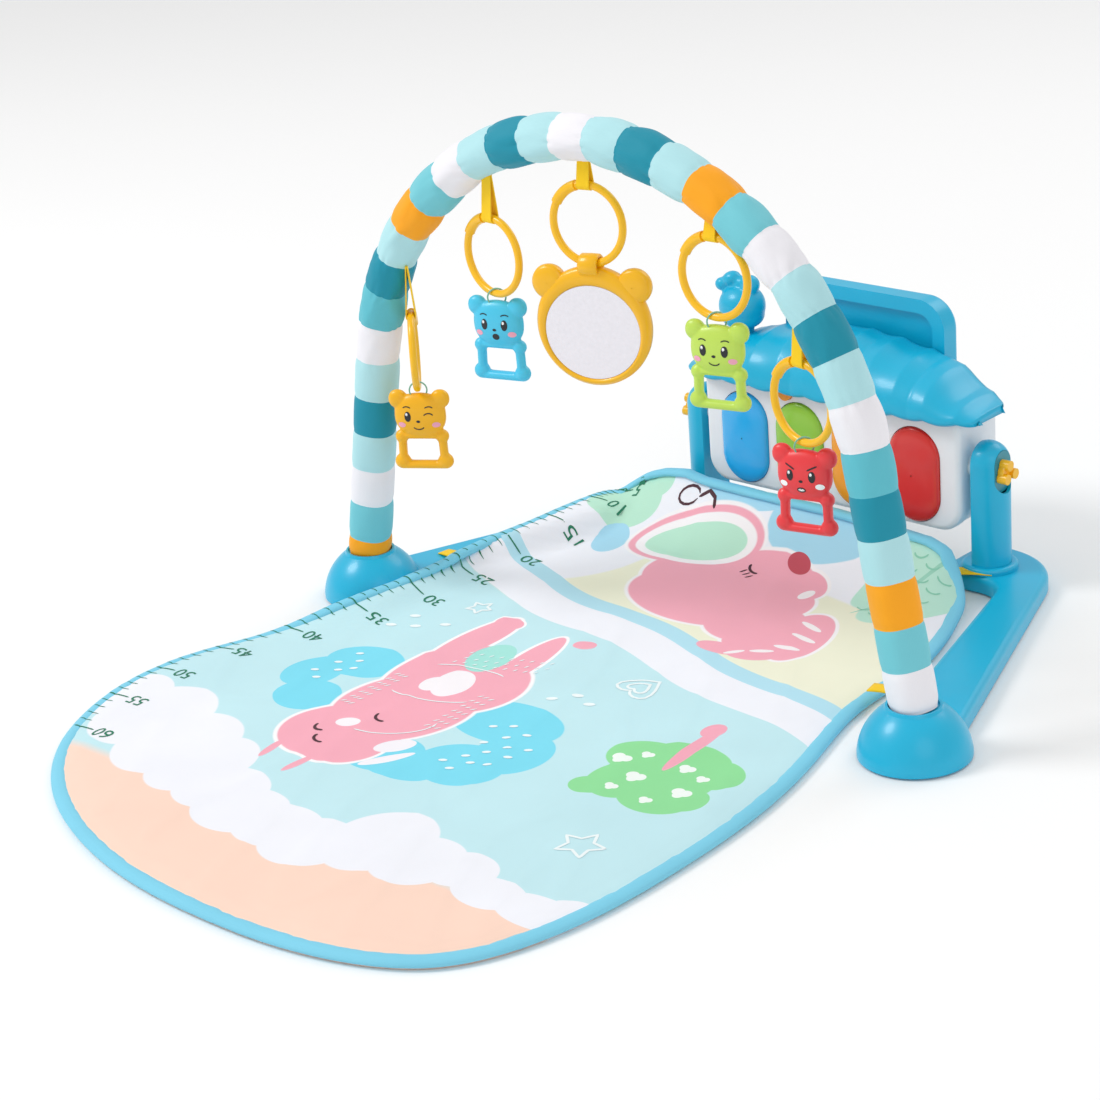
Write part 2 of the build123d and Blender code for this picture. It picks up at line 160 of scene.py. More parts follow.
def weave_height(tree, pitch):
    """Height of a plain weave with the given thread pitch in metres."""
    coords = add_node(tree, "ShaderNodeTexCoord")
    inputs = {"Vector": coords.outputs["Object"], "Scale": BANDS_PER_THREAD / pitch}
    waves = []
    for direction in ("X", "Y", "Z"):
        wave = add_node(tree, "ShaderNodeTexWave", inputs, wave_type="BANDS", bands_direction=direction)
        waves.append(wave.outputs["Fac"])
    first = add_node(tree, "ShaderNodeMath", {0: waves[0], 1: waves[1]}, operation="ADD")
    both = add_node(tree, "ShaderNodeMath", {0: first.outputs[0], 1: waves[2]}, operation="ADD")
    return spread(tree, both.outputs[0], 0.0, 0.5)


def finish_fabric(tree, shader, base, pitch, strength, sheen):
    """Woven cloth of a base colour or colour socket, with the thread pitch in metres."""
    height = weave_height(tree, pitch)
    drift = noise_node(tree, 14.0, 5.0).outputs["Fac"]
    # base colour darkened where the weave is low: painted shade between the threads, times a random tone
    # drift
    shade = add_node(tree, "ShaderNodeMath", {
        0: spread(tree, height, 0.96, 1.02), 1: spread(tree, drift, 0.95, 1.05)}, operation="MULTIPLY")
    set_inputs(tree, shader, {
        "Base Color": tinted(tree, base, shade.outputs[0]),
        "Normal": bump_normal(tree, strength, pitch * 0.4, height),
        "Roughness": 0.72,
        "Sheen Weight": sheen,
        "Sheen Roughness": 0.4,
    })


def fabric(name, text, pitch=0.0009, strength=0.25, sheen=0.08):
    material, tree, shader = new_material(name)
    finish_fabric(tree, shader, colour(text), pitch, strength, sheen)
    return material


def metal(name, text, roughness):
    material, tree, shader = new_material(name)
    grain = noise_node(tree, 400.0, 3.0).outputs["Fac"]
    set_inputs(tree, shader, {
        "Base Color": tinted(tree, colour(text), spread(tree, grain, 0.9, 1.1)),
        "Roughness": spread(tree, grain, roughness, roughness + 0.15),
        "Metallic": 1.0,
    })
    return material


PRINT_BLUR = 0.015  # half width of the soft edge of a printed shape, as a share of its size


class Print:
    """Paints flat shapes, one over another, on the mat's cloth, in millimetres seen from above."""

    def __init__(self, tree, ground):
        self.tree = tree
        self.paint = colour(ground)
        coords = add_node(tree, "ShaderNodeTexCoord")
        shifted = self.vector("SUBTRACT", coords.outputs["Object"], (0, ARCH_Y, 0))
        self.where = self.vector("MULTIPLY", shifted, (1 / MM, 1 / MM, 0))

    def vector(self, operation, *values):
        inputs = dict(enumerate(values))
        node = add_node(self.tree, "ShaderNodeVectorMath", inputs, operation=operation)
        return node.outputs["Value" if operation in ("DOT_PRODUCT", "LENGTH") else "Vector"]

    def math(self, operation, *values):
        inputs = dict(enumerate(values))
        return add_node(self.tree, "ShaderNodeMath", inputs, operation=operation).outputs[0]

    def ellipse(self, x, y, half_x, half_y, turn=0.0):
        """Below 1 inside the ellipse."""
        offset = self.vector("SUBTRACT", self.where, (x, y, 0))
        if not turn:
            return self.vector("LENGTH", self.vector("DIVIDE", offset, (half_x, half_y, 1)))
        c, s = math.cos(math.radians(turn)), math.sin(math.radians(turn))
        along = self.vector("DOT_PRODUCT", offset, (c / half_x, s / half_x, 0))
        across = self.vector("DOT_PRODUCT", offset, (-s / half_y, c / half_y, 0))
        squares = self.math("MULTIPLY_ADD", along, along, self.math("MULTIPLY", across, across))
        return self.math("SQRT", squares)

    def band(self, x, y, turn, half_width, wave=0.0, wavelength=100.0):
        """Below 1 within half_width of a wavy line through (x, y)."""
        offset = self.vector("SUBTRACT", self.where, (x, y, 0))
        c, s = math.cos(math.radians(turn)), math.sin(math.radians(turn))
        across = self.vector("DOT_PRODUCT", offset, (-s, c, 0))
        if wave:
            turns = 2 * math.pi / wavelength
            phase = self.vector("DOT_PRODUCT", offset, (c * turns, s * turns, 0))
            across = self.math("MULTIPLY_ADD", self.math("SINE", phase), wave, across)
        return self.math("DIVIDE", self.math("ABSOLUTE", across), half_width)

    def fill(self, shape, text):
        mask = add_node(self.tree, "ShaderNodeMapRange", {
            "Value": shape, "From Min": 1 + PRINT_BLUR, "From Max": 1 - PRINT_BLUR})
        mix = add_node(self.tree, "ShaderNodeMix", {
            "Factor": mask.outputs["Result"], "A": self.paint, "B": colour(text)}, data_type="RGBA")
        self.paint = mix.outputs["Result"]

    def blobs(self, ellipses, text):
        """One shape made of all the ellipses together."""
        joined = self.ellipse(*ellipses[0])
        for ellipse in ellipses[1:]:
            joined = self.math("MINIMUM", joined, self.ellipse(*ellipse))
        self.fill(joined, text)


def mat_cloth():
    """The mat's printed cloth: a cloud, a stream, a field and two sleepy made-up animals."""
    material, tree, shader = new_material("mat_print")
    paint = Print(tree, SKY_FIELD)
    # front end: peach, then a band of cloud over its edge
    paint.fill(paint.band(20, -640, 0, 318), PEACH)
    paint.blobs([(-262, -248, 34, 36), (-215, -262, 42, 50), (-165, -282, 42, 50), (-125, -294, 34, 44),
                 (-85, -312, 36, 32), (-50, -326, 36, 31), (-12, -328, 34, 28), (22, -332, 34, 32),
                 (60, -305, 36, 42), (98, -309, 32, 32), (130, -302, 26, 22), (165, -314, 28, 18),
                 (200, -314, 28, 17), (228, -305, 24, 20)], CLOUD)
    # stream and the cream ground beyond it
    paint.fill(paint.band(60, 150, -12, 152, 5, 190), CREAM)
    paint.fill(paint.band(-160, 330, -12, 112), CLOUD)
    paint.blobs([(-190, 160, 84, 100), (-150, 225, 90, 50)], CLOUD)
    paint.fill(paint.band(40, 38, -13, 9, 5, 190), RIVER_EDGE)
    paint.fill(paint.band(36, 13, -13, 18, 5, 190), CLOUD)
    # far end: green patch, blue patch and leaf
    paint.blobs([(-172, 204, 32, 24, 20), (-160, 226, 22, 14)], MINT)
    paint.blobs([(-156, 166, 14, 24, 20), (-58, 236, 46, 14, 6), (16, 226, 52, 30, 4)], "A9DDF3")
    paint.blobs([(110, 216, 26, 58, -24), (126, 192, 24, 52, -24)], "BFEBD8")
    paint.blobs([(116, 204, 1.6, 58, -24)], "9FD9C2")
    # bushes behind the first animal
    paint.blobs([(-152, -112, 32, 26), (-172, -146, 22, 26), (-146, -176, 26, 24), (26, -196, 34, 30),
                 (44, -164, 28, 32), (-8, -216, 36, 22), (-30, -212, 30, 26), (8, -130, 46, 30)], BUSH)
    # first animal, lying on its back
    paint.blobs([(-80, -205, 50, 44, 8), (-66, -214, 36, 36), (-72, -150, 54, 60), (-88, -98, 40, 60, 6),
                 (-62, -100, 50, 52, 14), (-110, -40, 18, 52, 0), (-50, -48, 15, 52, 8),
                 (-110, -2, 14, 12)], "FDFBFD")
    paint.blobs([(-80, -205, 47, 41, 8), (-66, -214, 33, 33), (-72, -150, 51, 57), (-88, -98, 37, 57, 6),
                 (-62, -100, 47, 49, 14), (-110, -40, 15, 49, 0), (-50, -48, 12, 49, 8),
                 (-110, -2, 12, 10), (-103, -250, 3.4, 14, 10), (-69, -256, 3.4, 15, -4),
                 (-34, -2, 9, 7, 30)], PINK)
    paint.blobs([(-78, -56, 16, 25, 10)], "A5E6DC")
    paint.blobs([(-70, -104, 15, 22, 20), (-82, -112, 9, 12)], "FBF6FA")
    paint.blobs([(-88, -191, 9, 7, 30)], "FBF6FA")
    paint.blobs([(-32, -200, 9, 15, -38), (-22, -218, 5, 20, -34)], "F8F4FA")
    # second animal, its ear lined with mint
    body = [(-22, 116, 66, 44, -8), (-54, 142, 44, 36, -30), (44, 100, 40, 36), (-2, 166, 50, 34, -8),
            (28, 166, 27, 25), (30, 136, 34, 32), (68, 76, 30, 26)]
    ear = (-85, 188, 58, 33, 14)
    edges = [(x, y, a + 3, b + 3, *t) for x, y, a, b, *t in [ear, *body]]
    paint.blobs(edges + [(88, 96, 25, 46, 14)], "FCF8FA")
    paint.blobs([ear, *body, (88, 96, 22, 43, 14), (76, 58, 22, 15, 20), (50, 50, 20, 9, 0)], PINK)
    paint.blobs([(-85, 188, 52, 28, 14)], "FCF8FA")
    paint.blobs([(-85, 188, 44, 21, 14)], MINT)
    paint.blobs([(13, 194, 13, 8, -30)], "C44A5A")
    paint.blobs([(44, 162, 5, 9, 0), (84, 116, 12, 3, -20), (92, 96, 12, 3, -10), (92, 76, 11, 3, 6),
                 (80, 62, 9, 2.6, 30), (64, 50, 8, 2.4, 50)], "FCF4F6")
    # tree with hearts
    paint.blobs([(125, -118, 30, 24), (150, -104, 32, 22), (178, -112, 22, 20, -20),
                 (132, -152, 24, 26), (166, -158, 28, 22), (186, -150, 14, 16), (118, -170, 14, 12),
                 (150, -134, 40, 36)], TREE)
    paint.blobs([(141, -88, 5.5, 38, 6), (135, -60, 8, 11, 0)], "F6A9BC")
    hearts = [(111, -127, 6), (122, -113, 4), (136, -142, 6), (157, -114, 5), (132, -162, 4),
              (176, -143, 6), (163, -164, 4), (175, -120, 4)]
    heart_parts = []
    for x, y, size in hearts:
        half, lobe = size * 0.5, size * 0.75
        heart_parts += [(x - half, y, lobe, lobe, 0), (x + half, y, lobe, lobe, 0),
                        (x, y - half, size * 0.7, size * 0.9, 0)]
    paint.blobs(heart_parts, "F4FBF6")
    finish_fabric(tree, shader, paint.paint, 0.0011, 0.2, 0.05)
    return material


blue_plastic = plastic("blue_plastic", BLUE, 0.34, 0.15)
white_plastic = plastic("white_plastic", WHITE, 0.3, 0.3)
yellow_plastic = plastic("yellow_plastic", "FBBF17", 0.3)
teal_plastic = plastic("teal_plastic", "0E8CA2", 0.3)
ring_plastic = plastic("ring_plastic", RING_YELLOW, 0.28)
mirror_plastic = plastic("mirror_plastic", MIRROR_YELLOW, 0.3)
roof_plastic = plastic("roof_plastic", "00B2DA", 0.36, 0.15)
orange_plastic = plastic("orange_plastic", "F79A1C", 0.28)
loop_plastic = plastic("loop_plastic", "7FB9A0", 0.2)
key_plastics = {
    "blue": plastic("key_blue", "22AEF0", 0.2, 0.4),
    "green": plastic("key_green", "8FC832", 0.2, 0.4),
    "yellow": plastic("key_yellow", "F9A000", 0.2, 0.4),
    "red": plastic("key_red", "D81E16", 0.2, 0.4),
}
bear_plastics = {
    "yellow": plastic("bear_yellow", "FAB800", 0.35, 0.12),
    "blue": plastic("bear_blue", "46C8EC", 0.35, 0.12),
    "green": plastic("bear_green", "C3E25A", 0.35, 0.12),
    "red": plastic("bear_red", "EE383E", 0.35, 0.12),
}
ink_plastic = plastic("printed_ink", "14181E", 0.4, 0.1)
white_ink = plastic("printed_white", "FFFFFF", 0.4, 0.1)
blush_ink = plastic("printed_blush", "F7A9C0", 0.45, 0.1)
screw_metal = metal("screw_metal", "B8BCC2", 0.3)
battery_metal = metal("battery_metal", "A9ADB3", 0.35)
black_plastic = plastic("black_plastic", "202226", 0.45, 0.1)
board_green = plastic("board_green", "1E6B3A", 0.5, 0.1)
rubber = plastic("rubber_grey", "4A4C50", 0.8, 0.0, 0.2)
mirror_film = metal("mirror_film", "E6E4EA", 0.16)
strap_cloth = fabric("strap_cloth", STRAP_YELLOW, 0.0012, 0.4)
binding_cloth = fabric("binding_cloth", BINDING, 0.0009, 0.35)
ruler_ink = fabric("ruler_ink", INK_GREEN, 0.0011, 0.2)
line_ink = fabric("line_ink", "4A1F2C", 0.0011, 0.2)
pale_ink = fabric("pale_ink", "F2FBFC", 0.0011, 0.2)
leaf_ink = fabric("leaf_ink", "8FD3B8", 0.0011, 0.2)
stripe_cloths = {
    "o": fabric("stripe_orange", STRIPE_ORANGE),
    "a": fabric("stripe_aqua", AQUA),
    "m": fabric("stripe_mid_aqua", MID_AQUA),
    "p": fabric("stripe_pale_aqua", PALE_AQUA),
    "t": fabric("stripe_teal", TEAL),
    "w": fabric("stripe_white", "F3F1F6"),
}


# ---------------------------------------------------------------- mesh building

def link_object(name, data):
    made = bpy.data.objects.new(name, data)
    bpy.context.scene.collection.objects.link(made)
    return made


def apply_modifiers(piece):
    """Replace a piece's mesh by what its modifiers make of it."""
    evaluated = piece.evaluated_get(bpy.context.evaluated_depsgraph_get())
    final = bpy.data.meshes.new_from_object(evaluated)
    piece.modifiers.clear()
    piece.data = final
    return final


def turned_point(u, v, p, q, turn):
    """(u, v) plus the step (p, q) turned by turn degrees."""
    c, s = math.cos(math.radians(turn)), math.sin(math.radians(turn))
    return u + p * c - q * s, v + p * s + q * c


def make_piece(name, vertices, faces, materials, body, face_slots=None, smooth=True):
    """Mesh object from points that are already in the row frame."""
    mesh = bpy.data.meshes.new(name)
    mesh.from_pydata([tuple(v) for v in vertices], [], faces)
    for material in materials:
        mesh.materials.append(material)
    if face_slots:
        mesh.polygons.foreach_set("material_index", face_slots)
    if smooth:
        mesh.polygons.foreach_set("use_smooth", [True] * len(mesh.polygons))
    mesh.update()
    piece = link_object(name, mesh)
    if body:
        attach(piece, body)
    return piece


def grid_faces(rows, columns, wrap_rows=False, wrap_columns=False):
    faces = []
    for i in range(rows if wrap_rows else rows - 1):
        for j in range(columns if wrap_columns else columns - 1):
            a = i * columns + j
            b = i * columns + (j + 1) % columns
            c = ((i + 1) % rows) * columns + (j + 1) % columns
            d = ((i + 1) % rows) * columns + j
            faces.append((a, b, c, d))
    return faces


def lathe(profile, axis_point, axis, across, steps=64):
    """Vertices and faces of a profile of (radius, along) turned about an axis."""
    axis = Vector(axis).normalized()
    across = Vector(across).normalized()
    third = axis.cross(across)
    vertices = []
    for k in range(steps):
        angle = 2 * math.pi * k / steps
        radial = across * math.cos(angle) + third * math.sin(angle)
        vertices += [Vector(axis_point) + radial * r + axis * a for r, a in profile]
    return vertices, grid_faces(steps, len(profile), wrap_rows=True)


def ball_grid(around, rows):
    """Points and faces of a unit sphere with its poles on Z."""
    points = [(0.0, 0.0, -1.0)]
    for i in range(1, rows):
        tilt = math.pi * i / rows - math.pi / 2
        for j in range(around):
            a = 2 * math.pi * j / around
            points.append((math.cos(tilt) * math.cos(a), math.cos(tilt) * math.sin(a), math.sin(tilt)))
    points.append((0.0, 0.0, 1.0))
    last = len(points) - 1
    faces = [tuple(v + 1 for v in face) for face in grid_faces(rows - 1, around, wrap_columns=True)]
    faces += [(0, 1 + (j + 1) % around, 1 + j) for j in range(around)]
    top = last - around
    faces += [(last, top + j, top + (j + 1) % around) for j in range(around)]
    return np.array(points), faces


class Lump:
    """Rounded solid made of ellipsoids and rods, joined by a voxel remesh and smoothed."""

    def __init__(self):
        self.points = []
        self.faces = []
        self.count = 0

    def add(self, points, faces):
        self.points.append(points)
        self.faces += [tuple(self.count + v for v in face) for face in faces]
        self.count += len(points)

    def ellipsoid(self, centre, radii, square=1.0, turn=0.0):
        points, faces = ball_grid(40, 22)
        points = np.sign(points) * np.abs(points) ** square * np.array(radii)
        c, s = math.cos(math.radians(turn)), math.sin(math.radians(turn))
        x, y, z = points.T
        turned = np.stack([x * c + z * s, y, z * c - x * s], 1)
        self.add(turned + np.array(centre), faces)

    def rod(self, start, end, radius, depth):
        """Row of overlapping balls between two points, radius across and depth along Y."""
        points, faces = ball_grid(20, 12)
        start, end = np.array(start, float), np.array(end, float)
        steps = max(2, int(np.linalg.norm(end - start) / (radius * 0.35)))
        for k in range(steps + 1):
            centre = start + (end - start) * k / steps
            self.add(points * np.array((radius, depth, radius)) + centre, faces)

    def finish(self, name, matrix, voxel, material, body, smoothing=4):
        """Remesh in millimetres, smooth, and put the result in place with matrix."""
        mesh = bpy.data.meshes.new(name)
        mesh.from_pydata(np.concatenate(self.points).tolist(), [], self.faces)
        piece = link_object(name, mesh)
        remesh = piece.modifiers.new("remesh", "REMESH")
        remesh.mode = "VOXEL"
        remesh.voxel_size = voxel
        smooth = piece.modifiers.new("smooth", "SMOOTH")
        smooth.iterations = smoothing
        smooth.factor = 0.5
        final = apply_modifiers(piece)
        final.name = name
        final.transform(matrix)
        final.materials.clear()
        final.materials.append(material)
        final.polygons.foreach_set("use_smooth", [True] * len(final.polygons))
        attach(piece, body)
        return piece


def toy_matrix(x, y, z, turn):
    """From a toy's own millimetres to the row frame."""
    return (Matrix.Translation(place(x, y, z)) @ Matrix.Rotation(math.radians(turn), 4, "Z")
            @ Matrix.Scale(MM, 4))


class Decal:
    """Thin printed shapes laid on another piece's surface, along one direction."""

    def __init__(self, targets, matrix, into, lift):
        points, polygons = [], []
        for target in targets:
            base = len(points)
            points += [v.co.copy() for v in target.data.vertices]
            polygons += [tuple(base + i for i in p.vertices) for p in target.data.polygons]
        self.tree = BVHTree.FromPolygons(points, polygons)
        self.matrix = matrix
        self.into = into
        self.lift = lift
        self.step = 2.0 if into == "Z" else 0.8
        self.vertices = []
        self.faces = []
        self.slots = []

    def project(self, u, v):
        """A point of the drawing, moved along self.into onto the target."""
        if self.into == "Y":
            start = self.matrix @ Vector((u, -60, v))
            direction = (self.matrix.to_3x3() @ Vector((0, 1, 0))).normalized()
        else:
            start = self.matrix @ Vector((u, v, 120))
            direction = Vector((0, 0, -1))
        hit = self.tree.ray_cast(start, direction)
        if hit[0] is None:
            return None
        return hit[0] - direction * self.lift

    def patch(self, rings, slot):
        """Rings of (u, v) points, from the middle outwards."""
        base = len(self.vertices)
        points = [[self.project(u, v) for u, v in ring] for ring in rings]
        if any(p is None for ring in points for p in ring):
            return
        count = len(points[0])
        self.vertices += [p for ring in points for p in ring]
        for face in grid_faces(len(points), count, wrap_columns=True):
            self.faces.append(tuple(base + i for i in face))
            self.slots.append(slot)

    def ellipse(self, u, v, half_u, half_v, slot, turn=0.0, rings=4, count=24):
        made = []
        for k in range(rings + 1):
            share = max(k / rings, 0.02)
            ring = []
            for n in range(count):
                a = 2 * math.pi * n / count
                p, q = half_u * share * math.cos(a), half_v * share * math.sin(a)
                ring.append(turned_point(u, v, p, q, turn))
            made.append(ring)
        self.patch(made, slot)

    def stroke(self, line, width, slot):
        """Ribbon of the given width along a line of (u, v) points."""
        base = len(self.vertices)
        points = []
        for a, b in zip(line, line[1:]):
            pieces = max(1, int(math.dist(a, b) / self.step))
            points += [Vector(a).lerp(Vector(b), k / pieces) for k in range(pieces)]
        points.append(Vector(line[-1]))
        made = []
        for i, p in enumerate(points):
            before = points[max(i - 1, 0)]
            after = points[min(i + 1, len(points) - 1)]
            along = (after - before).normalized()
            side = Vector((-along.y, along.x)) * (width / 2)
            taper = 0.35 if i in (0, len(points) - 1) and width > 0.5 else 1.0
            made += [p + side * taper, p - side * taper]
        placed = [self.project(p.x, p.y) for p in made]
        if any(p is None for p in placed):
            return
        self.vertices += placed
        for i in range(len(points) - 1):
            a = base + 2 * i
            self.faces.append((a, a + 1, a + 3, a + 2))
            self.slots.append(slot)

    def arc(self, u, v, radius_u, radius_v, start, end, width, slot, turn=0.0):
        line = []
        for k in range(13):
            a = math.radians(start + (end - start) * k / 12)
            p, q = radius_u * math.cos(a), radius_v * math.sin(a)
            line.append(turned_point(u, v, p, q, turn))
        self.stroke(line, width, slot)

    def finish(self, name, materials, body):
        return make_piece(name, self.vertices, self.faces, materials, body, self.slots)


# ---------------------------------------------------------------- CAD nodes that stay

SMOOTH_BELOW = math.radians(32)


def dress(node, material):
    """Give a CAD node its material and shade its shallow edges smooth."""
    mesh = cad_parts[node].data
    mesh.materials.clear()
    mesh.materials.append(material)
    mesh.polygons.foreach_set("use_smooth", [True] * len(mesh.polygons))
    mesh.set_sharp_from_angle(angle=SMOOTH_BELOW)


DRESSING = [
    (blue_plastic, ["base_arm_left", "base_arm_right", "base_covers", "tower_left", "tower_right"]),
    (screw_metal, ["base_screws", "piano_screws"]),
    (rubber, ["rubber_pads", "contact_pads"]),
    (teal_plastic, ["knob_plates"]),
    (yellow_plastic, ["lock_knob_left", "lock_knob_right"]),
    (white_plastic, ["arch_tube_left", "arch_tube_right", "arch_coupler", "piano_front", "piano_rear",
                     "battery_door"]),
    (mirror_film, ["mirror_disc"]),
    (board_green, ["contact_board"]),
    (orange_plastic, ["mode_button", "volume_button"]),
    (black_plastic, ["speaker", "power_switch"]),
    (battery_metal, ["batteries"]),
    (roof_plastic, ["tray_panel"]),
]
# a hanging ring: the radius of its wire, and of the circle that the wire follows
RING_WIRE = 2.75
RING_RADIUS = 27.75
# name, X, Y, height of the ring's top, turn of the ring, turn of the toy
TOYS = [
    ("yellow", -182.0, -5.0, 243.0, -46.0, 30.0),
    ("blue", -97.0, 0.0, 326.0, -6.0, 15.0),
    ("mirror", -4.0, 0.0, 361.0, 10.0, 18.0),
    ("green", 106.0, 0.0, 339.0, 0.0, 13.0),
    ("red", 169.0, 8.0, 260.0, -10.0, 12.0),
]
for name, *_ in TOYS:
    DRESSING.append((ring_plastic, [f"ring_{name}"]))
    if name != "mirror":
        DRESSING.append((loop_plastic, [f"loop_{name}"]))
        DRESSING.append((white_plastic, [f"beads_{name}"]))
for node_material, node_names in DRESSING:
    for node_name in node_names:
        dress(node_name, node_material)


# ---------------------------------------------------------------- camera, floor and light

CAMERA_ANGLES = (44.0, 21.66, -4.45)  # azimuth, elevation and roll in degrees
CAMERA_PLACE = (1237, -1347, 821)
CAMERA_LENS = 90.25
FLOOR_REACH = 12.0
FLOOR_Z = -0.0006  # just below the mat, so that the two surfaces don't share a plane


def make_camera():
    azimuth, elevation, roll = (math.radians(a) for a in CAMERA_ANGLES)
    level = math.cos(elevation)
    back = Vector((math.sin(azimuth) * level, -math.cos(azimuth) * level, math.sin(elevation)))
    right = Vector((math.cos(azimuth), math.sin(azimuth), 0))
    up = back.cross(right)
    rolled_right = math.cos(roll) * right + math.sin(roll) * up
    rolled_up = -math.sin(roll) * right + math.cos(roll) * up
    camera = link_object("camera", bpy.data.cameras.new("camera"))
    turn = Matrix((rolled_right, rolled_up, back)).transposed().to_4x4()
    camera.matrix_world = Matrix.Translation(place(*CAMERA_PLACE)) @ turn
    camera.data.sensor_width = 36
    camera.data.lens = CAMERA_LENS
    camera.data.clip_start = 0.05
    camera.data.clip_end = 30
    bpy.context.scene.camera = camera


def make_light(name, position, target, size, power):
    """Round area light; positions in metres, power in watts."""
    data = bpy.data.lights.new(name, "AREA")
    data.shape = "DISK"
    data.size = size
    data.energy = power
    lamp = link_object(name, data)
    direction = Vector(position) - Vector(target)
    turn = direction.to_track_quat("Z", "Y").to_matrix().to_4x4()
    lamp.matrix_world = Matrix.Translation(position) @ turn


def make_stage():
    material, tree, shader = new_material("studio_floor")
    drift = noise_node(tree, 1.5, 2.0).outputs["Fac"]
    set_inputs(tree, shader, {
        "Base Color": tinted(tree, (0.985, 0.985, 0.985), spread(tree, drift, 0.99, 1.01)),
        "Roughness": 0.6,
    })
    reach = FLOOR_REACH
    square = ((-reach, -reach), (reach, -reach), (reach, reach), (-reach, reach))
    corners = [(x, y, FLOOR_Z) for x, y in square]
    floor = make_piece("studio_floor", corners, [(0, 1, 2, 3)], [material], None)
    world = bpy.data.worlds.new("studio")
    bpy.context.scene.world = world
    world.use_nodes = True
    background = world.node_tree.nodes["Background"]
    background.inputs["Color"].default_value = (1, 1, 1, 1)
    background.inputs["Strength"].default_value = 0.68
    make_light("key", (-1.9, -1.5, 2.7), (0, 0, 0.1), 1.3, 50)
    make_light("fill", (2.4, -1.2, 1.6), (0, 0, 0.15), 2.0, 7)
    make_light("rim", (0.4, 2.4, 2.2), (0, 0, 0.2), 1.6, 14)
    bpy.context.scene.view_settings.view_transform = "Standard"


make_camera()
make_stage()


# ---------------------------------------------------------------- arch sleeve

ARCH_RADIUS, ARCH_Z, LEAN = 231.0, 159.0, math.radians(10.75)
SLEEVE_FOOT_Z = 34.0
KNEE = (ARCH_RADIUS * math.cos(LEAN), ARCH_Z + ARCH_RADIUS * math.sin(LEAN))
LEG_LENGTH = (KNEE[1] - SLEEVE_FOOT_Z) / math.cos(LEAN)
CROWN_LENGTH = ARCH_RADIUS * (math.pi - 2 * LEAN)
SLEEVE_LENGTH = 2 * LEG_LENGTH + CROWN_LENGTH
STRIPES = "oawptpwmtpoawptpwptpoawptpwmtpoaw"
FIRST_STRIPE = 17.0
SLEEVE_RADIUS = 16.6
TIGHTEST_RADIUS = 14.4
LINING_RADIUS = 13.6
STRIPE_LENGTH = (SLEEVE_LENGTH - FIRST_STRIPE) / (len(STRIPES) - 1)


def arch_point(s):
    """Centre of the arch and its tangent, in X and Z, s millimetres from the left foot."""
    across, up = math.sin(LEAN), math.cos(LEAN)
    if s < LEG_LENGTH:
        rise = LEG_LENGTH - s
        return (-KNEE[0] - rise * across, KNEE[1] - rise * up), (across, up)
    if s > LEG_LENGTH + CROWN_LENGTH:
        drop = s - LEG_LENGTH - CROWN_LENGTH
        return (KNEE[0] + drop * across, KNEE[1] - drop * up), (across, -up)
    angle = math.pi - LEAN - (s - LEG_LENGTH) / ARCH_RADIUS
    return ((ARCH_RADIUS * math.cos(angle), ARCH_Z + ARCH_RADIUS * math.sin(angle)),
            (math.sin(angle), -math.cos(angle)))


def stripe_at(s):
    return 0 if s < FIRST_STRIPE else min(1 + int((s - FIRST_STRIPE) / STRIPE_LENGTH), len(STRIPES) - 1)


def seam_distance(s):
    if s < FIRST_STRIPE / 2:
        return s
    offset = (s - FIRST_STRIPE) % STRIPE_LENGTH
    return min(offset, STRIPE_LENGTH - offset)


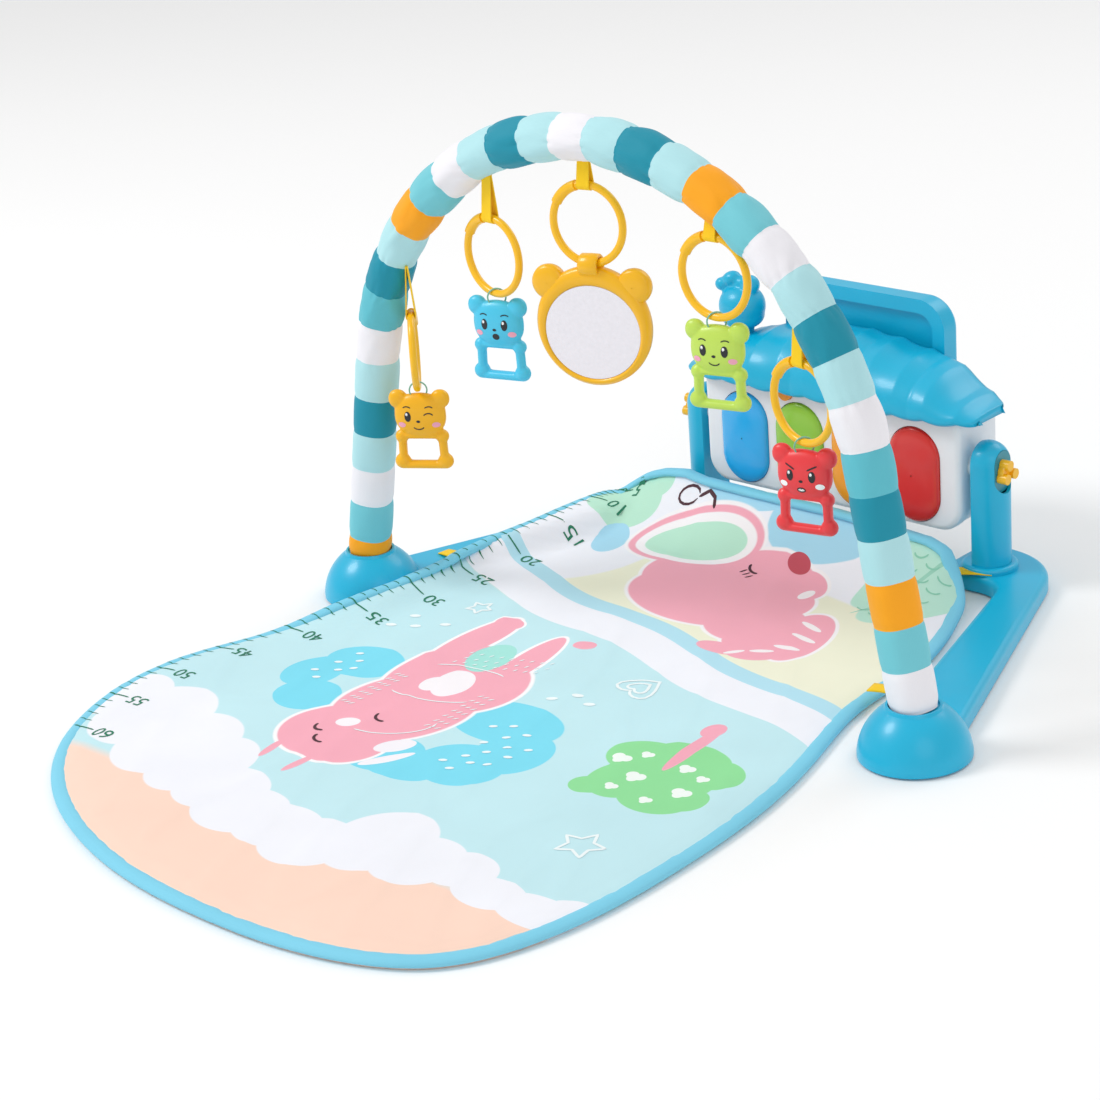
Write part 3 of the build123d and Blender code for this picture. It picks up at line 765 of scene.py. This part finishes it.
def make_sleeve():
    rows, around = 660, 72
    vertices = []
    for i in range(rows):
        s = SLEEVE_LENGTH * i / (rows - 1)
        (x, z), (tx, tz) = arch_point(s)
        normal = Vector((-tz, 0, tx))
        on_crown = min(1.0, max(0.0, (z - 175) / 60))
        near_seam = math.exp(-(seam_distance(s) / 3.0) ** 2)
        fade = math.exp(-seam_distance(s) / 7.0)
        # the ribbons pull the cloth in where the rings hang
        pull = max(math.exp(-((x - toy[1]) / 24) ** 2) for toy in TOYS) if z > 175 else 0.0
        for j in range(around):
            a = 2 * math.pi * j / around
            sample = Vector((math.cos(a) * 1.7, math.sin(a) * 1.7, s / 17.0))
            soft = noise.noise(sample) * (0.3 + 0.9 * on_crown)
            drift = 3.0 * noise.noise(Vector((s / 26.0, a * 0.8, 3.0)))
            pleats = abs(math.sin(a * 4.5 + s / 23.0 + drift))
            creases = (1 - pleats) ** 2 * (0.15 + 1.1 * on_crown) * fade
            puff = math.sin(math.pi * min(1.0, seam_distance(s) / STRIPE_LENGTH))
            puff *= 0.2 + 0.5 * on_crown
            flat = 0.5 * math.cos(4 * (a - 0.35)) * (1 - on_crown)
            radius = SLEEVE_RADIUS + soft + puff - creases + flat - 0.5 * near_seam
            radius -= 1.0 * math.exp(-(s / 5.0) ** 2) + 1.0 * math.exp(-((SLEEVE_LENGTH - s) / 5.0) ** 2)
            radius -= 2.2 * pull * max(0.0, -math.cos(a))
            radius = max(radius, TIGHTEST_RADIUS)
            point = normal * (radius * math.cos(a))
            vertices.append(place(x + point.x, radius * math.sin(a), z + point.z))
    faces = grid_faces(rows, around, wrap_columns=True)
    cloths = sorted(stripe_cloths)
    slots = []
    for i in range(rows - 1):
        index = cloths.index(STRIPES[stripe_at(SLEEVE_LENGTH * (i + 0.5) / (rows - 1))])
        slots += [index] * around
    lining_base = len(vertices)
    lining = rows // 6 + 1
    for i in range(lining):
        (x, z), (tx, tz) = arch_point(SLEEVE_LENGTH * min(i * 6 / (rows - 1), 1.0))
        for j in range(around):
            a = 2 * math.pi * j / around
            out = LINING_RADIUS * math.cos(a)
            vertices.append(place(x - tz * out, LINING_RADIUS * math.sin(a), z + tx * out))
    inside = grid_faces(lining, around, wrap_columns=True)
    faces += [tuple(lining_base + v for v in reversed(f)) for f in inside]
    for ring, other in ((0, lining_base), ((rows - 1) * around, lining_base + (lining - 1) * around)):
        for j in range(around):
            k = (j + 1) % around
            hem = (ring + j, other + j, other + k, ring + k)
            faces.append(hem if ring else tuple(reversed(hem)))
    slots += [cloths.index("w")] * (len(faces) - len(slots))
    sleeve = make_piece("sleeve", vertices, faces, [stripe_cloths[c] for c in cloths], "base", slots)
    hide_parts("arch_sleeve")


make_sleeve()


# ---------------------------------------------------------------- mat

MAT_EDGE = [
    (30, -429), (134, -417), (192, -386), (222, -325), (232, -220), (226, -120), (208, -40),
    (190, 28), (187, 70), (180, 132), (160, 190), (145, 220), (124, 235), (98, 237), (60, 237),
    (0, 237), (-60, 237), (-112, 237), (-136, 237), (-160, 236), (-184, 232), (-200, 222), (-209, 196),
    (-211, 150), (-217, 60), (-226, -20), (-247, -90), (-279, -165), (-283, -226),
    (-266, -282), (-239, -326), (-180, -377), (-121, -405), (-46, -424),
]
ARM = [(284, 3), (170, 312), (103, 312), (103, 249), (160, 249), (231, 3)]


def closed_spline(points, spacing):
    """Smooth closed curve through the points, as evenly spaced points (periodic cubic spline)."""
    p = np.array(points, float)
    n = len(p)
    h = np.linalg.norm(np.roll(p, -1, 0) - p, axis=1)
    system = np.zeros((n, n))
    right = np.zeros((n, 2))
    for i in range(n):
        before, after = (i - 1) % n, (i + 1) % n
        system[i, before] += h[before]
        system[i, i] += 2 * (h[before] + h[i])
        system[i, after] += h[i]
        right[i] = 6 * ((p[after] - p[i]) / h[i] - (p[i] - p[before]) / h[before])
    second = np.linalg.solve(system, right)
    fine = []
    for i in range(n):
        after = (i + 1) % n
        for t in np.linspace(0, h[i], 60, endpoint=False):
            a, b = (h[i] - t), t
            bend = (second[i] * a ** 3 + second[after] * b ** 3) / (6 * h[i])
            start = (p[i] / h[i] - second[i] * h[i] / 6) * a
            fine.append(bend + start + (p[after] / h[i] - second[after] * h[i] / 6) * b)
    fine = np.array(fine)
    steps = np.linalg.norm(np.roll(fine, -1, 0) - fine, axis=1)
    total = steps.sum()
    along = np.concatenate([[0], np.cumsum(steps)])
    looped = np.vstack([fine, fine[:1]])
    count = int(total / spacing)
    wanted = np.linspace(0, total, count, endpoint=False)
    return np.stack([np.interp(wanted, along, looped[:, k]) for k in (0, 1)], 1)


def polygon_distance(points, corners):
    """Signed distance of points to a closed polygon, negative inside."""
    points = np.asarray(points, float)
    corners = np.asarray(corners, float)
    best = np.full(len(points), 1e9)
    inside = np.zeros(len(points), bool)
    for a, b in zip(corners, np.roll(corners, -1, 0)):
        edge = b - a
        t = np.clip(((points - a) @ edge) / (edge @ edge), 0, 1)
        best = np.minimum(best, np.linalg.norm(points - (a + t[:, None] * edge), axis=1))
        crosses = (a[1] > points[:, 1]) != (b[1] > points[:, 1])
        with np.errstate(divide="ignore", invalid="ignore"):
            at_x = (b[0] - a[0]) * (points[:, 1] - a[1]) / (b[1] - a[1]) + a[0]
        inside ^= crosses & (points[:, 0] < at_x)
    return np.where(inside, -best, best)


def mat_lift(points):
    """Height of the mat's underside: over the two arms, the left foot and the fold at the rear."""
    points = np.asarray(points, float)
    x, y = points[:, 0], points[:, 1]
    lift = np.zeros(len(points))
    for side in (1, -1):
        arm = [(side * px, py) for px, py in ARM]
        gap = polygon_distance(points, arm)
        t = np.clip((15 - gap) / 17, 0, 1)
        lift = np.maximum(lift, 14.9 * t * t * (3 - 2 * t))
    gap = np.maximum(np.hypot(x + 258.3, (y - 10) * 0.55) - 34, 0)
    on_foot = 15 * np.exp(-(gap / 24) ** 2) * np.clip((-178 - x) / 34, 0, 1)
    lift = np.maximum(lift, on_foot) + 0.2 * np.minimum(lift, on_foot)
    # a loose fold runs along the left edge, a little above the arm
    lift += 5.5 * np.clip((-178 - x) / 26, 0, 1) * np.clip((y - 20) / 70, 0, 1)
    # the rear edge is folded up against the piano and higher before the left tower
    crest = np.interp(
        x,
        [-214, -200, -185, -165, -150, -129, -112, -60, 20, 41, 78, 106, 124, 134, 150],
        [20, 24, 30, 39, 44, 47, 44, 43, 43, 42, 40, 38, 33, 24, 8],
    )
    slope = np.clip((y - 168) / 67, 0, 1)
    fold = crest * slope ** 1.9
    crease = 3.5 * np.sin((x + 205) / 21.0) * slope * (1 - slope) * 2 * np.clip((-40 - x) / 60, 0, 1)
    lift = np.maximum(lift, fold) + crease
    return lift


def mat_wrinkle(x, y):
    broad = noise.noise(Vector((x / 95, y / 120, 1.3)))
    folds = 1 - abs(noise.noise(Vector((x / 60 + 0.35 * y / 60, y / 150, 7.7)))) * 2
    return 0.9 * broad + 1.1 * max(0.0, folds) ** 6


EDGE_THICKNESS = 4.2
PADDING = 4.2  # added towards the middle of the mat


def make_mat():
    edge = closed_spline(MAT_EDGE, 6.0)
    spacing = 7.0
    inner = []
    row = 0
    y = edge[:, 1].min()
    while y < edge[:, 1].max():
        x = edge[:, 0].min() + (spacing / 2 if row % 2 else 0)
        while x < edge[:, 0].max():
            inner.append((x, y))
            x += spacing
        y += spacing * 0.866
        row += 1
    inner = np.array(inner)
    inner = inner[polygon_distance(inner, edge) < -spacing * 0.6]
    points = [Vector(p) for p in np.vstack([edge, inner])]
    border = [(i, (i + 1) % len(edge)) for i in range(len(edge))]
    flat_points, _, triangles, *_ = delaunay_2d_cdt(points, border, [], 1, 1e-4)
    flat = np.array([tuple(p) for p in flat_points])
    depth = np.maximum(-polygon_distance(flat, edge), 0)
    thickness = EDGE_THICKNESS + PADDING * (1 - np.exp(-depth / 11))
    lift = mat_lift(flat)
    ripples = np.array([mat_wrinkle(x, y) for x, y in flat]) * np.clip(depth / 20, 0, 1)
    top = lift + thickness + ripples
    bottom = lift + 0.15
    count = len(flat)
    vertices = [place(x, y, z) for (x, y), z in zip(flat, top)]
    vertices += [place(x, y, z) for (x, y), z in zip(flat, bottom)]
    faces = [tuple(t) for t in triangles]
    faces += [tuple(count + i for i in reversed(t)) for t in triangles]
    used = {}
    for t in triangles:
        for a, b in zip(t, t[1:] + t[:1]):
            key = frozenset((a, b))
            used[key] = None if key in used else (a, b)
    for pair in used.values():
        if pair:
            a, b = pair
            faces.append((b, a, count + a, count + b))
    mat = make_piece("play_mat", vertices, faces, [mat_cloth()], "base")
    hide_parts("mat")
    return mat, edge


def make_binding(edge):
    """Bias binding folded over the mat's edge."""
    lift = mat_lift(edge)
    count = len(edge)
    vertices = []
    section = [(math.cos(a), math.sin(a)) for a in np.linspace(0, 2 * math.pi, 14, endpoint=False)]
    for i in range(count):
        before, after = edge[i - 1], edge[(i + 1) % count]
        along = (after - before) / np.linalg.norm(after - before)
        outward = np.array((along[1], -along[0]))
        pucker = 1 + 0.12 * math.sin(i * 1.9) * noise.noise(Vector((i * 0.31, 0, 0))) * 2
        for u, v in section:
            x, y = edge[i] + outward * (u * 6.0 - 3.6)
            swell = 1.0 + 0.5 * (1 - u) * 0.5
            vertices.append(place(x, y, lift[i] + 2.95 + v * 2.9 * pucker * (swell if v > 0 else 1.0)))
    faces = grid_faces(count, len(section), wrap_rows=True, wrap_columns=True)
    binding = make_piece("mat_binding", vertices, faces, [binding_cloth], "base")
    return binding


MAT_MATRIX = Matrix.Translation((0, ARCH_Y, 0)) @ Matrix.Scale(MM, 4)
play_mat, mat_outline = make_mat()
mat_binding = make_binding(mat_outline)


# the ruler's marks stand closer together on the fold behind mark 10, and stop short of the rear edge
MARK_TEN_Y = 198.0
MARK_STEP = 10.0
FOLD_STEP = 4.6
LAST_MARK_Y = 224


def make_ruler():
    """Centimetre ruler printed along the mat's left edge."""
    marks = Decal([play_mat, mat_binding], MAT_MATRIX, "Z", 0.0003)
    left = [p for p in mat_outline if p[0] < -190 and p[1] < 236]
    left.sort(key=lambda p: -p[1])
    edge_y = np.array([p[1] for p in left][::-1])
    edge_x = np.array([p[0] for p in left][::-1])
    for mark in range(1, 61):
        y = MARK_TEN_Y - (mark - 10) * (MARK_STEP if mark >= 10 else FOLD_STEP)
        if y > LAST_MARK_Y:
            continue
        x = float(np.interp(y, edge_y, edge_x))
        start = 1.0
        length = 22 if mark % 5 == 0 else 13
        marks.stroke([(x + start, y), (x + start + length, y)], 1.3 if mark % 5 == 0 else 0.8, 0)
        if mark % 5 == 0:
            add_number(marks, str(mark), x + start + length + 3, y)
    ruler = marks.finish("mat_ruler", [ruler_ink], "base")


def add_number(marks, text, x, y):
    """A number printed on the mat, its top towards the front edge."""
    curve = bpy.data.curves.new("number", "FONT")
    curve.body = text
    curve.size = 17
    curve.align_x = "LEFT"
    curve.align_y = "CENTER"
    curve.resolution_u = 3
    holder = link_object("number", curve)
    evaluated = holder.evaluated_get(bpy.context.evaluated_depsgraph_get())
    mesh = bpy.data.meshes.new_from_object(evaluated)
    bpy.data.objects.remove(holder)
    width = max(v.co.x for v in mesh.vertices)
    base = len(marks.vertices)
    placed = [marks.project(x + width - v.co.x, y - v.co.y) for v in mesh.vertices]
    if any(p is None for p in placed):
        return
    marks.vertices += placed
    for polygon in mesh.polygons:
        marks.faces.append(tuple(base + i for i in polygon.vertices))
        marks.slots.append(0)
    bpy.data.meshes.remove(mesh)


make_ruler()


def outline_heart(drawing, x, y, size, turn, slot):
    line = []
    for k in range(25):
        a = 2 * math.pi * k / 24
        u = size * math.sin(a) ** 3
        v = size * (0.81 * math.cos(a) - 0.31 * math.cos(2 * a) - 0.12 * math.cos(3 * a))
        line.append(turned_point(x, y, u, v, turn))
    drawing.stroke(line, 2.2, slot)


def outline_star(drawing, x, y, size, turn, slot):
    line = []
    for k in range(11):
        a = math.radians(turn + 36 * k)
        r = size if k % 2 == 0 else size * 0.5
        line.append((x + r * math.cos(a), y + r * math.sin(a)))
    drawing.stroke(line, 2.2, slot)


def make_mat_drawings():
    """Line drawing on the mat: sleepy eyes, dashes, a heart and a star."""
    drawing = Decal([play_mat], MAT_MATRIX, "Z", 0.00025)
    dark, pale = 0, 1
    for x, y, turn in ((-97, -207, 150), (-84, -220, 150), (-72, -172, 150)):
        drawing.arc(x, y, 6.5, 5.5, 15, 165, 2.2, dark, turn)
    drawing.arc(-18, 180, 8, 5, 200, 340, 2.2, dark, -35)
    for k in range(3):
        drawing.stroke([(-24 + 5 * k, 176 - 3 * k), (-27 + 5 * k, 170 - 3 * k)], 1.6, dark)
    drawing.arc(-118, 222, 9, 6, 0, 330, 1.8, dark, 20)
    drawing.stroke([(-109, 223), (-101, 228), (-94, 225), (-90, 218)], 2.6, dark)
    # rows of dashes on the first animal's legs and the bushes
    for row in range(3):
        for k in range(9):
            x, y = -96 + 8 * k + 3 * (row % 2), -78 + 9 * row + 2.2 * k
            drawing.stroke([(x, y), (x + 1.5, -74 + 9 * row + 2.2 * k)], 1.6, pale)
    for row in range(3):
        for k in range(7):
            drawing.stroke([(-118 + 4 * row, -170 + 9 * k), (-115 + 4 * row, -166 + 9 * k)], 1.5, pale)
            drawing.stroke([(-38 + 5 * row, -166 + 9 * k), (-35 + 5 * row, -162 + 9 * k)], 1.5, pale)
    drawing.arc(-70, -126, 34, 9, 200, 340, 1.3, pale, 12)
    drawing.arc(-74, -84, 30, 8, 20, 160, 1.3, pale, 12)
    drawing.arc(-70, -172, 40, 24, 250, 360, 1.3, pale, 20)
    leaves = ((-166, -104), (-156, -114), (-168, -124), (-158, -134), (-172, -144), (-162, -152),
              (-150, -126), (12, -198), (24, -204), (30, -190), (42, -186), (20, -184), (46, -170),
              (36, -160), (50, -154), (24, -148), (34, -138), (16, -132), (4, -140), (16, -162),
              (28, -172))
    for x, y in leaves:
        drawing.ellipse(x, y, 3.2, 1.8, pale, 35, 2, 12)
    outline_heart(drawing, 48, -36, 17, 160, pale)
    outline_heart(drawing, 48, -36, 9, 160, pale)
    outline_star(drawing, 171, -236, 17, 20, pale)
    outline_star(drawing, -150, 8, 11, 5, pale)
    for x, y in ((-182, -30), (-168, -44), (-150, -30), (-186, -52), (20, -70), (36, -76), (8, -84)):
        drawing.ellipse(x, y, 4.5, 2.6, pale, 25, 2, 12)
    # scales on the leaf
    for row in range(6):
        for k in range(3):
            drawing.arc(96 + 13 * k + 2 * row, 166 + 12 * row - 4 * k, 6, 5, 200, 340, 1.3, 2, 10)
    lines = drawing.finish("mat_drawings", [line_ink, pale_ink, leaf_ink], "base")


make_mat_drawings()


def make_tab(name, x, y, turn, length, width, slot_z):
    """Short folded tab sewn under the mat's edge."""
    rows, columns = 9, 5
    vertices = []
    for i in range(rows):
        t = i / (rows - 1)
        for j in range(columns):
            v = (j / (columns - 1) - 0.5) * width * (1 - 0.15 * t)
            vertices.append(Vector((length * t, v, slot_z + 0.9 * math.sin(t * math.pi) - 0.5 * t)))
    turned = Matrix.Translation(place(x, y, 0)) @ Matrix.Rotation(math.radians(turn), 4, "Z")
    turned = turned @ Matrix.Scale(MM, 4)
    points = [turned @ v for v in vertices]
    tab = make_piece(name, points, grid_faces(rows, columns), [strap_cloth], "base")
    solid = tab.modifiers.new("solidify", "SOLIDIFY")
    solid.thickness = 0.9 * MM
    solid.offset = 1.0


make_tab("tab_left_front", -221, 62, 172, 24, 13, 15.6)
make_tab("tab_right_front", 190, 44, 12, 24, 13, 15.2)
make_tab("tab_right_rear", 118, 243, 30, 32, 14, 16.0)
make_tab("tab_left_rear", -207, 196, 165, 22, 13, 15.6)


# ---------------------------------------------------------------- hanging toys

def make_strap(name, x, y, top, turn):
    """Ribbon folded round the ring's wire, its two ends sewn under the sleeve."""
    ring_top = top - RING_WIRE
    up = ARCH_Z + math.sqrt(214.7 ** 2 - x * x) - ring_top + 5
    line = []
    for a in np.linspace(-90, 90, 13):
        line.append((3.5 * math.sin(math.radians(a)), -3.5 * math.cos(math.radians(a))))
    left = [(-3.5 * (1 - t) - 0.5 * t, up * t) for t in np.linspace(1, 0.08, 9)]
    right = [(3.5 * (1 - t) + 0.5 * t, up * t) for t in np.linspace(0.08, 1, 9)]
    line = left + line + right
    rows = []
    for i, (v, z) in enumerate(line):
        before = Vector(line[max(i - 1, 0)])
        after = Vector(line[min(i + 1, len(line) - 1)])
        along = (after - before).normalized()
        side = Vector((-along.y, along.x)) * 0.45
        half = 5.0 - 0.7 * max(0.0, min(1.0, z / max(up, 1)))
        for sign, w in ((1, half), (-1, half), (-1, -half), (1, -half)):
            rows.append(Vector((w, v + sign * side.x, z + sign * side.y)))
    matrix = toy_matrix(x, y, ring_top, turn)
    count = len(line)
    faces = grid_faces(count, 4, wrap_columns=True)
    faces += [(0, 1, 2, 3), tuple(4 * (count - 1) + k for k in (3, 2, 1, 0))]
    points = [matrix @ p for p in rows]
    strap = make_piece(f"ribbon_{name}", points, faces, [strap_cloth], "base", smooth=False)
    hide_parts(f"strap_{name}")


def draw_face(face, mood):
    """Simple printed face: slots are 0 ink, 1 white, 2 blush."""
    for side in (-1, 1):
        if mood == "wink" and side == 1:
            face.arc(side * 8, 0.5, 3.6, 2.6, 20, 160, 0.9, 0)
        else:
            face.ellipse(side * 8, 0.5, 2.5, 4.0, 0)
            face.ellipse(side * 8 - 0.8, 2.2, 0.9, 1.2, 1)
        if mood == "cross":
            face.stroke([(side * 4.5, 4.8), (side * 8, 6.6), (side * 11.5, 8.2)], 1.1, 0)
        else:
            face.arc(side * 8.5, 5.6, 3.6, 2.6, 35, 145, 0.8, 0)
        face.ellipse(side * 13.2, -6.2, 3.0, 2.1, 1 if mood == "cross" else 2)
    face.ellipse(0, -3.2, 1.5, 1.0, 0)
    if mood == "cross":
        face.ellipse(0, -9.5, 3.2, 1.9, 0)
        face.ellipse(0, -9.5, 2.2, 1.0, 1)
    elif mood == "open":
        face.ellipse(0.6, -8.4, 2.8, 2.4, 0)
    else:
        face.arc(0, -6.4, 4.4, 3.2, 205, 335, 0.9, 0)


def make_bear(name, x, y, wire_bottom, turn, mood):
    loop_centre = wire_bottom + RING_WIRE + 0.6 + 0.15 - 6.5
    head_z = loop_centre - 6.5 - 11.2 - 2.3 + 0.6 + 0.35
    bear = Lump()
    bear.ellipsoid((0, 0, 0), (19.8, 7.4, 17), 0.84)
    for side in (-1, 1):
        bear.ellipsoid((16.3 * side, 0, 12.5), (7.2, 4.8, 7.2), 0.92)
        bear.ellipsoid((15.6 * side, 0, -17), (5.2, 4.8, 5.2))
        bear.rod((15.4 * side, 0, -16), (16.0 * side, 0, -36), 3.3, 4.2)
        bear.ellipsoid((16.6 * side, 0, -36.7), (6.1, 5.2, 6.0))
    bear.rod((-15, 0, -39.4), (15, 0, -39.4), 3.3, 4.2)
    bear.rod((-11, 0, -16), (11, 0, -16), 3.0, 4.2)
    matrix = toy_matrix(x, y, head_z, turn)
    piece = bear.finish(f"rattle_{name}", matrix, 0.8, bear_plastics[name], f"toy_{name}")
    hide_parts(f"bear_{name}_front", f"bear_{name}_back")
    face = Decal([piece], matrix, "Y", 0.00018)
    draw_face(face, mood)
    printed = face.finish(f"rattle_{name}_face", [ink_plastic, white_ink, blush_ink], f"toy_{name}")


def make_mirror(x, y, wire_bottom, turn):
    centre = wire_bottom - 1.2 - 43.5
    matrix = toy_matrix(x, y, centre, turn)
    vertices, faces = [], []

    def join(new_vertices, new_faces):
        base = len(vertices)
        vertices.extend(new_vertices)
        faces.extend(tuple(base + i for i in face) for face in new_faces)

    steps = 96
    rings = [(1, 5.0), (40, 5.0), (42.4, 3.4), (42.9, 0.5), (42.6, -2.6), (40.9, -4.8)]
    outer = []
    for k in range(steps):
        a = 2 * math.pi * k / steps
        c, s = math.cos(a), math.sin(a)
        row = [Vector((r * c, d, r * s)) for r, d in rings]
        lip = Vector((35.9 * c, 0, -4 + 33.9 * s))
        rim = Vector((40.9 * c, 0, 40.9 * s))
        row.append(rim.lerp(lip, 0.45) + Vector((0, -5.9, 0)))
        row.append(rim.lerp(lip, 0.85) + Vector((0, -5.3, 0)))
        row.append(lip + Vector((0, -4.4, 0)))
        row.append(lip + Vector((0, -1.9, 0)))
        row.append(Vector((lip.x * 0.02, -1.9, -4 + (lip.z + 4) * 0.02)))
        outer += row
    join(outer, grid_faces(steps, len(outer) // steps, wrap_rows=True))
    ear = [(0.3, 4.2), (10.4, 4.2), (12.2, 2.8), (12.8, 0.0), (12.2, -2.8), (10.4, -4.4), (6, -5.0),
           (0.3, -5.2)]
    for side in (-1, 1):
        join(*lathe(ear, (32 * side, 0, 30), (0, 1, 0), (1, 0, 0), 48))
    lug = [(5.6, -7), (7.2, -7.2), (8.0, -6.2), (8.2, 0), (8.0, 6.2), (7.2, 7.2), (5.6, 7), (5.5, 6.4),
           (5.5, -6.4)]
    lug_vertices, lug_faces = lathe(lug, (0, 0, 43.5), (1, 0, 0), (0, 0, 1), 40)
    join(lug_vertices, lug_faces)
    points = [matrix @ v for v in vertices]
    piece = make_piece("mirror_surround", points, faces, [mirror_plastic], "toy_mirror")
    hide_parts("mirror_frame")


MOODS = {"yellow": "wink", "blue": "open", "green": "smile", "red": "cross"}
for toy_name, toy_x, toy_y, toy_top, ring_turn, toy_turn in TOYS:
    make_strap(toy_name, toy_x, toy_y, toy_top, ring_turn)
    bottom_wire = toy_top - RING_WIRE - 2 * RING_RADIUS
    if toy_name == "mirror":
        make_mirror(toy_x, toy_y, bottom_wire, toy_turn)
    else:
        make_bear(toy_name, toy_x, toy_y, bottom_wire, toy_turn, MOODS[toy_name])


# ---------------------------------------------------------------- piano

def make_key(name, x):
    """Domed key cap: a stadium that swells towards its middle."""
    half_width, half_height = 22.8, 37.8
    straight = half_height - half_width
    outline = []
    for k in range(64):
        a = 2 * math.pi * k / 64
        shift = math.copysign(straight, math.sin(a))
        outline.append((half_width * math.cos(a), half_width * math.sin(a) + shift))
    rings = [(1.0, 256.5), (1.0, 252.0), (0.985, 250.6), (0.955, 249.8), (0.9, 249.1), (0.78, 248.3),
             (0.6, 247.6), (0.4, 247.2), (0.2, 247.0), (0.02, 246.9)]
    vertices = []
    for share, depth in rings:
        for u, v in outline:
            vertices.append(place(x + u * share, depth, 84 + v * share))
    faces = grid_faces(len(rings), 64, wrap_columns=True)
    cap = make_piece(f"cap_{name}", vertices, faces, [key_plastics[name]], f"key_{name}")
    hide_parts(f"key_{name}")


for key_index, key_name in enumerate(("blue", "green", "yellow", "red")):
    make_key(key_name, 54.5 * (key_index - 1.5))


# distances from the middle of the roof, and the ridge's heights there
RIDGE = ([0, 37, 66, 88, 103, 119, 132, 140], [178, 175, 170, 166, 159, 148, 142, 139.5])


def ridge_height(u):
    """Height of the canopy's ridge, u from -1 to 1 across the roof."""
    x = abs(u) * 140
    return float(np.interp(x, *RIDGE))


def make_roof():
    """Fluted canopy like a row of petals, with rounded hips and a wavy, thick eave."""
    columns, rows = 181, 40
    vertices = []
    for i in range(rows):
        t = i / (rows - 1)
        for j in range(-1, columns + 1):
            u = min(1.0, max(-1.0, -1 + 2 * j / (columns - 1)))
            hip = 0.55 + 0.45 * (1 - abs(u) ** 7) ** 0.5
            wave = math.cos(u * 5.0 * math.pi)
            crease = abs(math.cos(u * 2.5 * math.pi)) ** 0.6
            eave = 133.0 - 2.0 * abs(wave) + 5.0 * (1 - hip)
            ridge = eave + (ridge_height(u) - 136) * (0.55 + 0.45 * hip) + 3
            front = 270 - 29.5 * hip - 1.5 * crease
            back = 272.0 + 29.0 * hip
            if t < 0.12:
                p = t / 0.12
                y = front + 3.6 * (1 - p) ** 2 + 0.6
                z = eave - 1.6 + 3.4 * p
            elif t < 0.76:
                p = (t - 0.12) / 0.64
                swell = math.sin(p * math.pi / 2)
                y = front + 0.6 + (288 - front) * (1 - math.cos(p * math.pi / 2)) ** 0.92
                z = eave + 1.8 + (ridge - eave - 1.8) * swell ** 0.8
                z += 1.5 * crease * math.sin(p * math.pi) ** 0.7
            elif t < 0.84:
                p = (t - 0.76) / 0.08
                y = 288.6 + (back - 289.6) * p
                z = ridge - 0.8 * p * p
            else:
                p = (t - 0.84) / 0.16
                y = back - 0.4 * (1 - p)
                z = ridge - 0.8 - (ridge - 0.8 - 136.0) * p
            if j in (-1, columns):
                z = min(z, eave - 1.0)
            vertices.append(place(137.5 * u, y, z))
    faces = grid_faces(rows, columns + 2)
    roof = make_piece("canopy", vertices, faces, [roof_plastic], None)
    solid = roof.modifiers.new("solidify", "SOLIDIFY")
    solid.thickness = 2.2 * MM
    solid.offset = -1.0
    apply_modifiers(roof)
    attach(roof, "piano")
    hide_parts("roof_canopy")


def make_topper():
    """Round bud with leaf-like lobes on the left of the roof."""
    bud = Lump()
    bud.ellipsoid((0, 0, -1), (19, 17.5, 17), 0.95)
    bud.ellipsoid((0, 0, -8), (18, 16.5, 12), 0.95)
    bud.ellipsoid((-9, -1, 20), (8.5, 7, 6), 1.0, -25)
    bud.ellipsoid((-17, -3, 15), (6, 5.5, 5.5), 1.0)
    bud.ellipsoid((9, 0, 17), (8, 7.5, 8), 1.0, 30)
    bud.rod((0, 0, 10), (0, 0, 17), 6, 6)
    bud.rod((0, 0, -24), (0, 0, -10), 9, 9)
    piece = bud.finish("topper", toy_matrix(-101, 279, 184, 0), 1.2, roof_plastic, "piano", 6)
    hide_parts("roof_canopy")


make_roof()
make_topper()
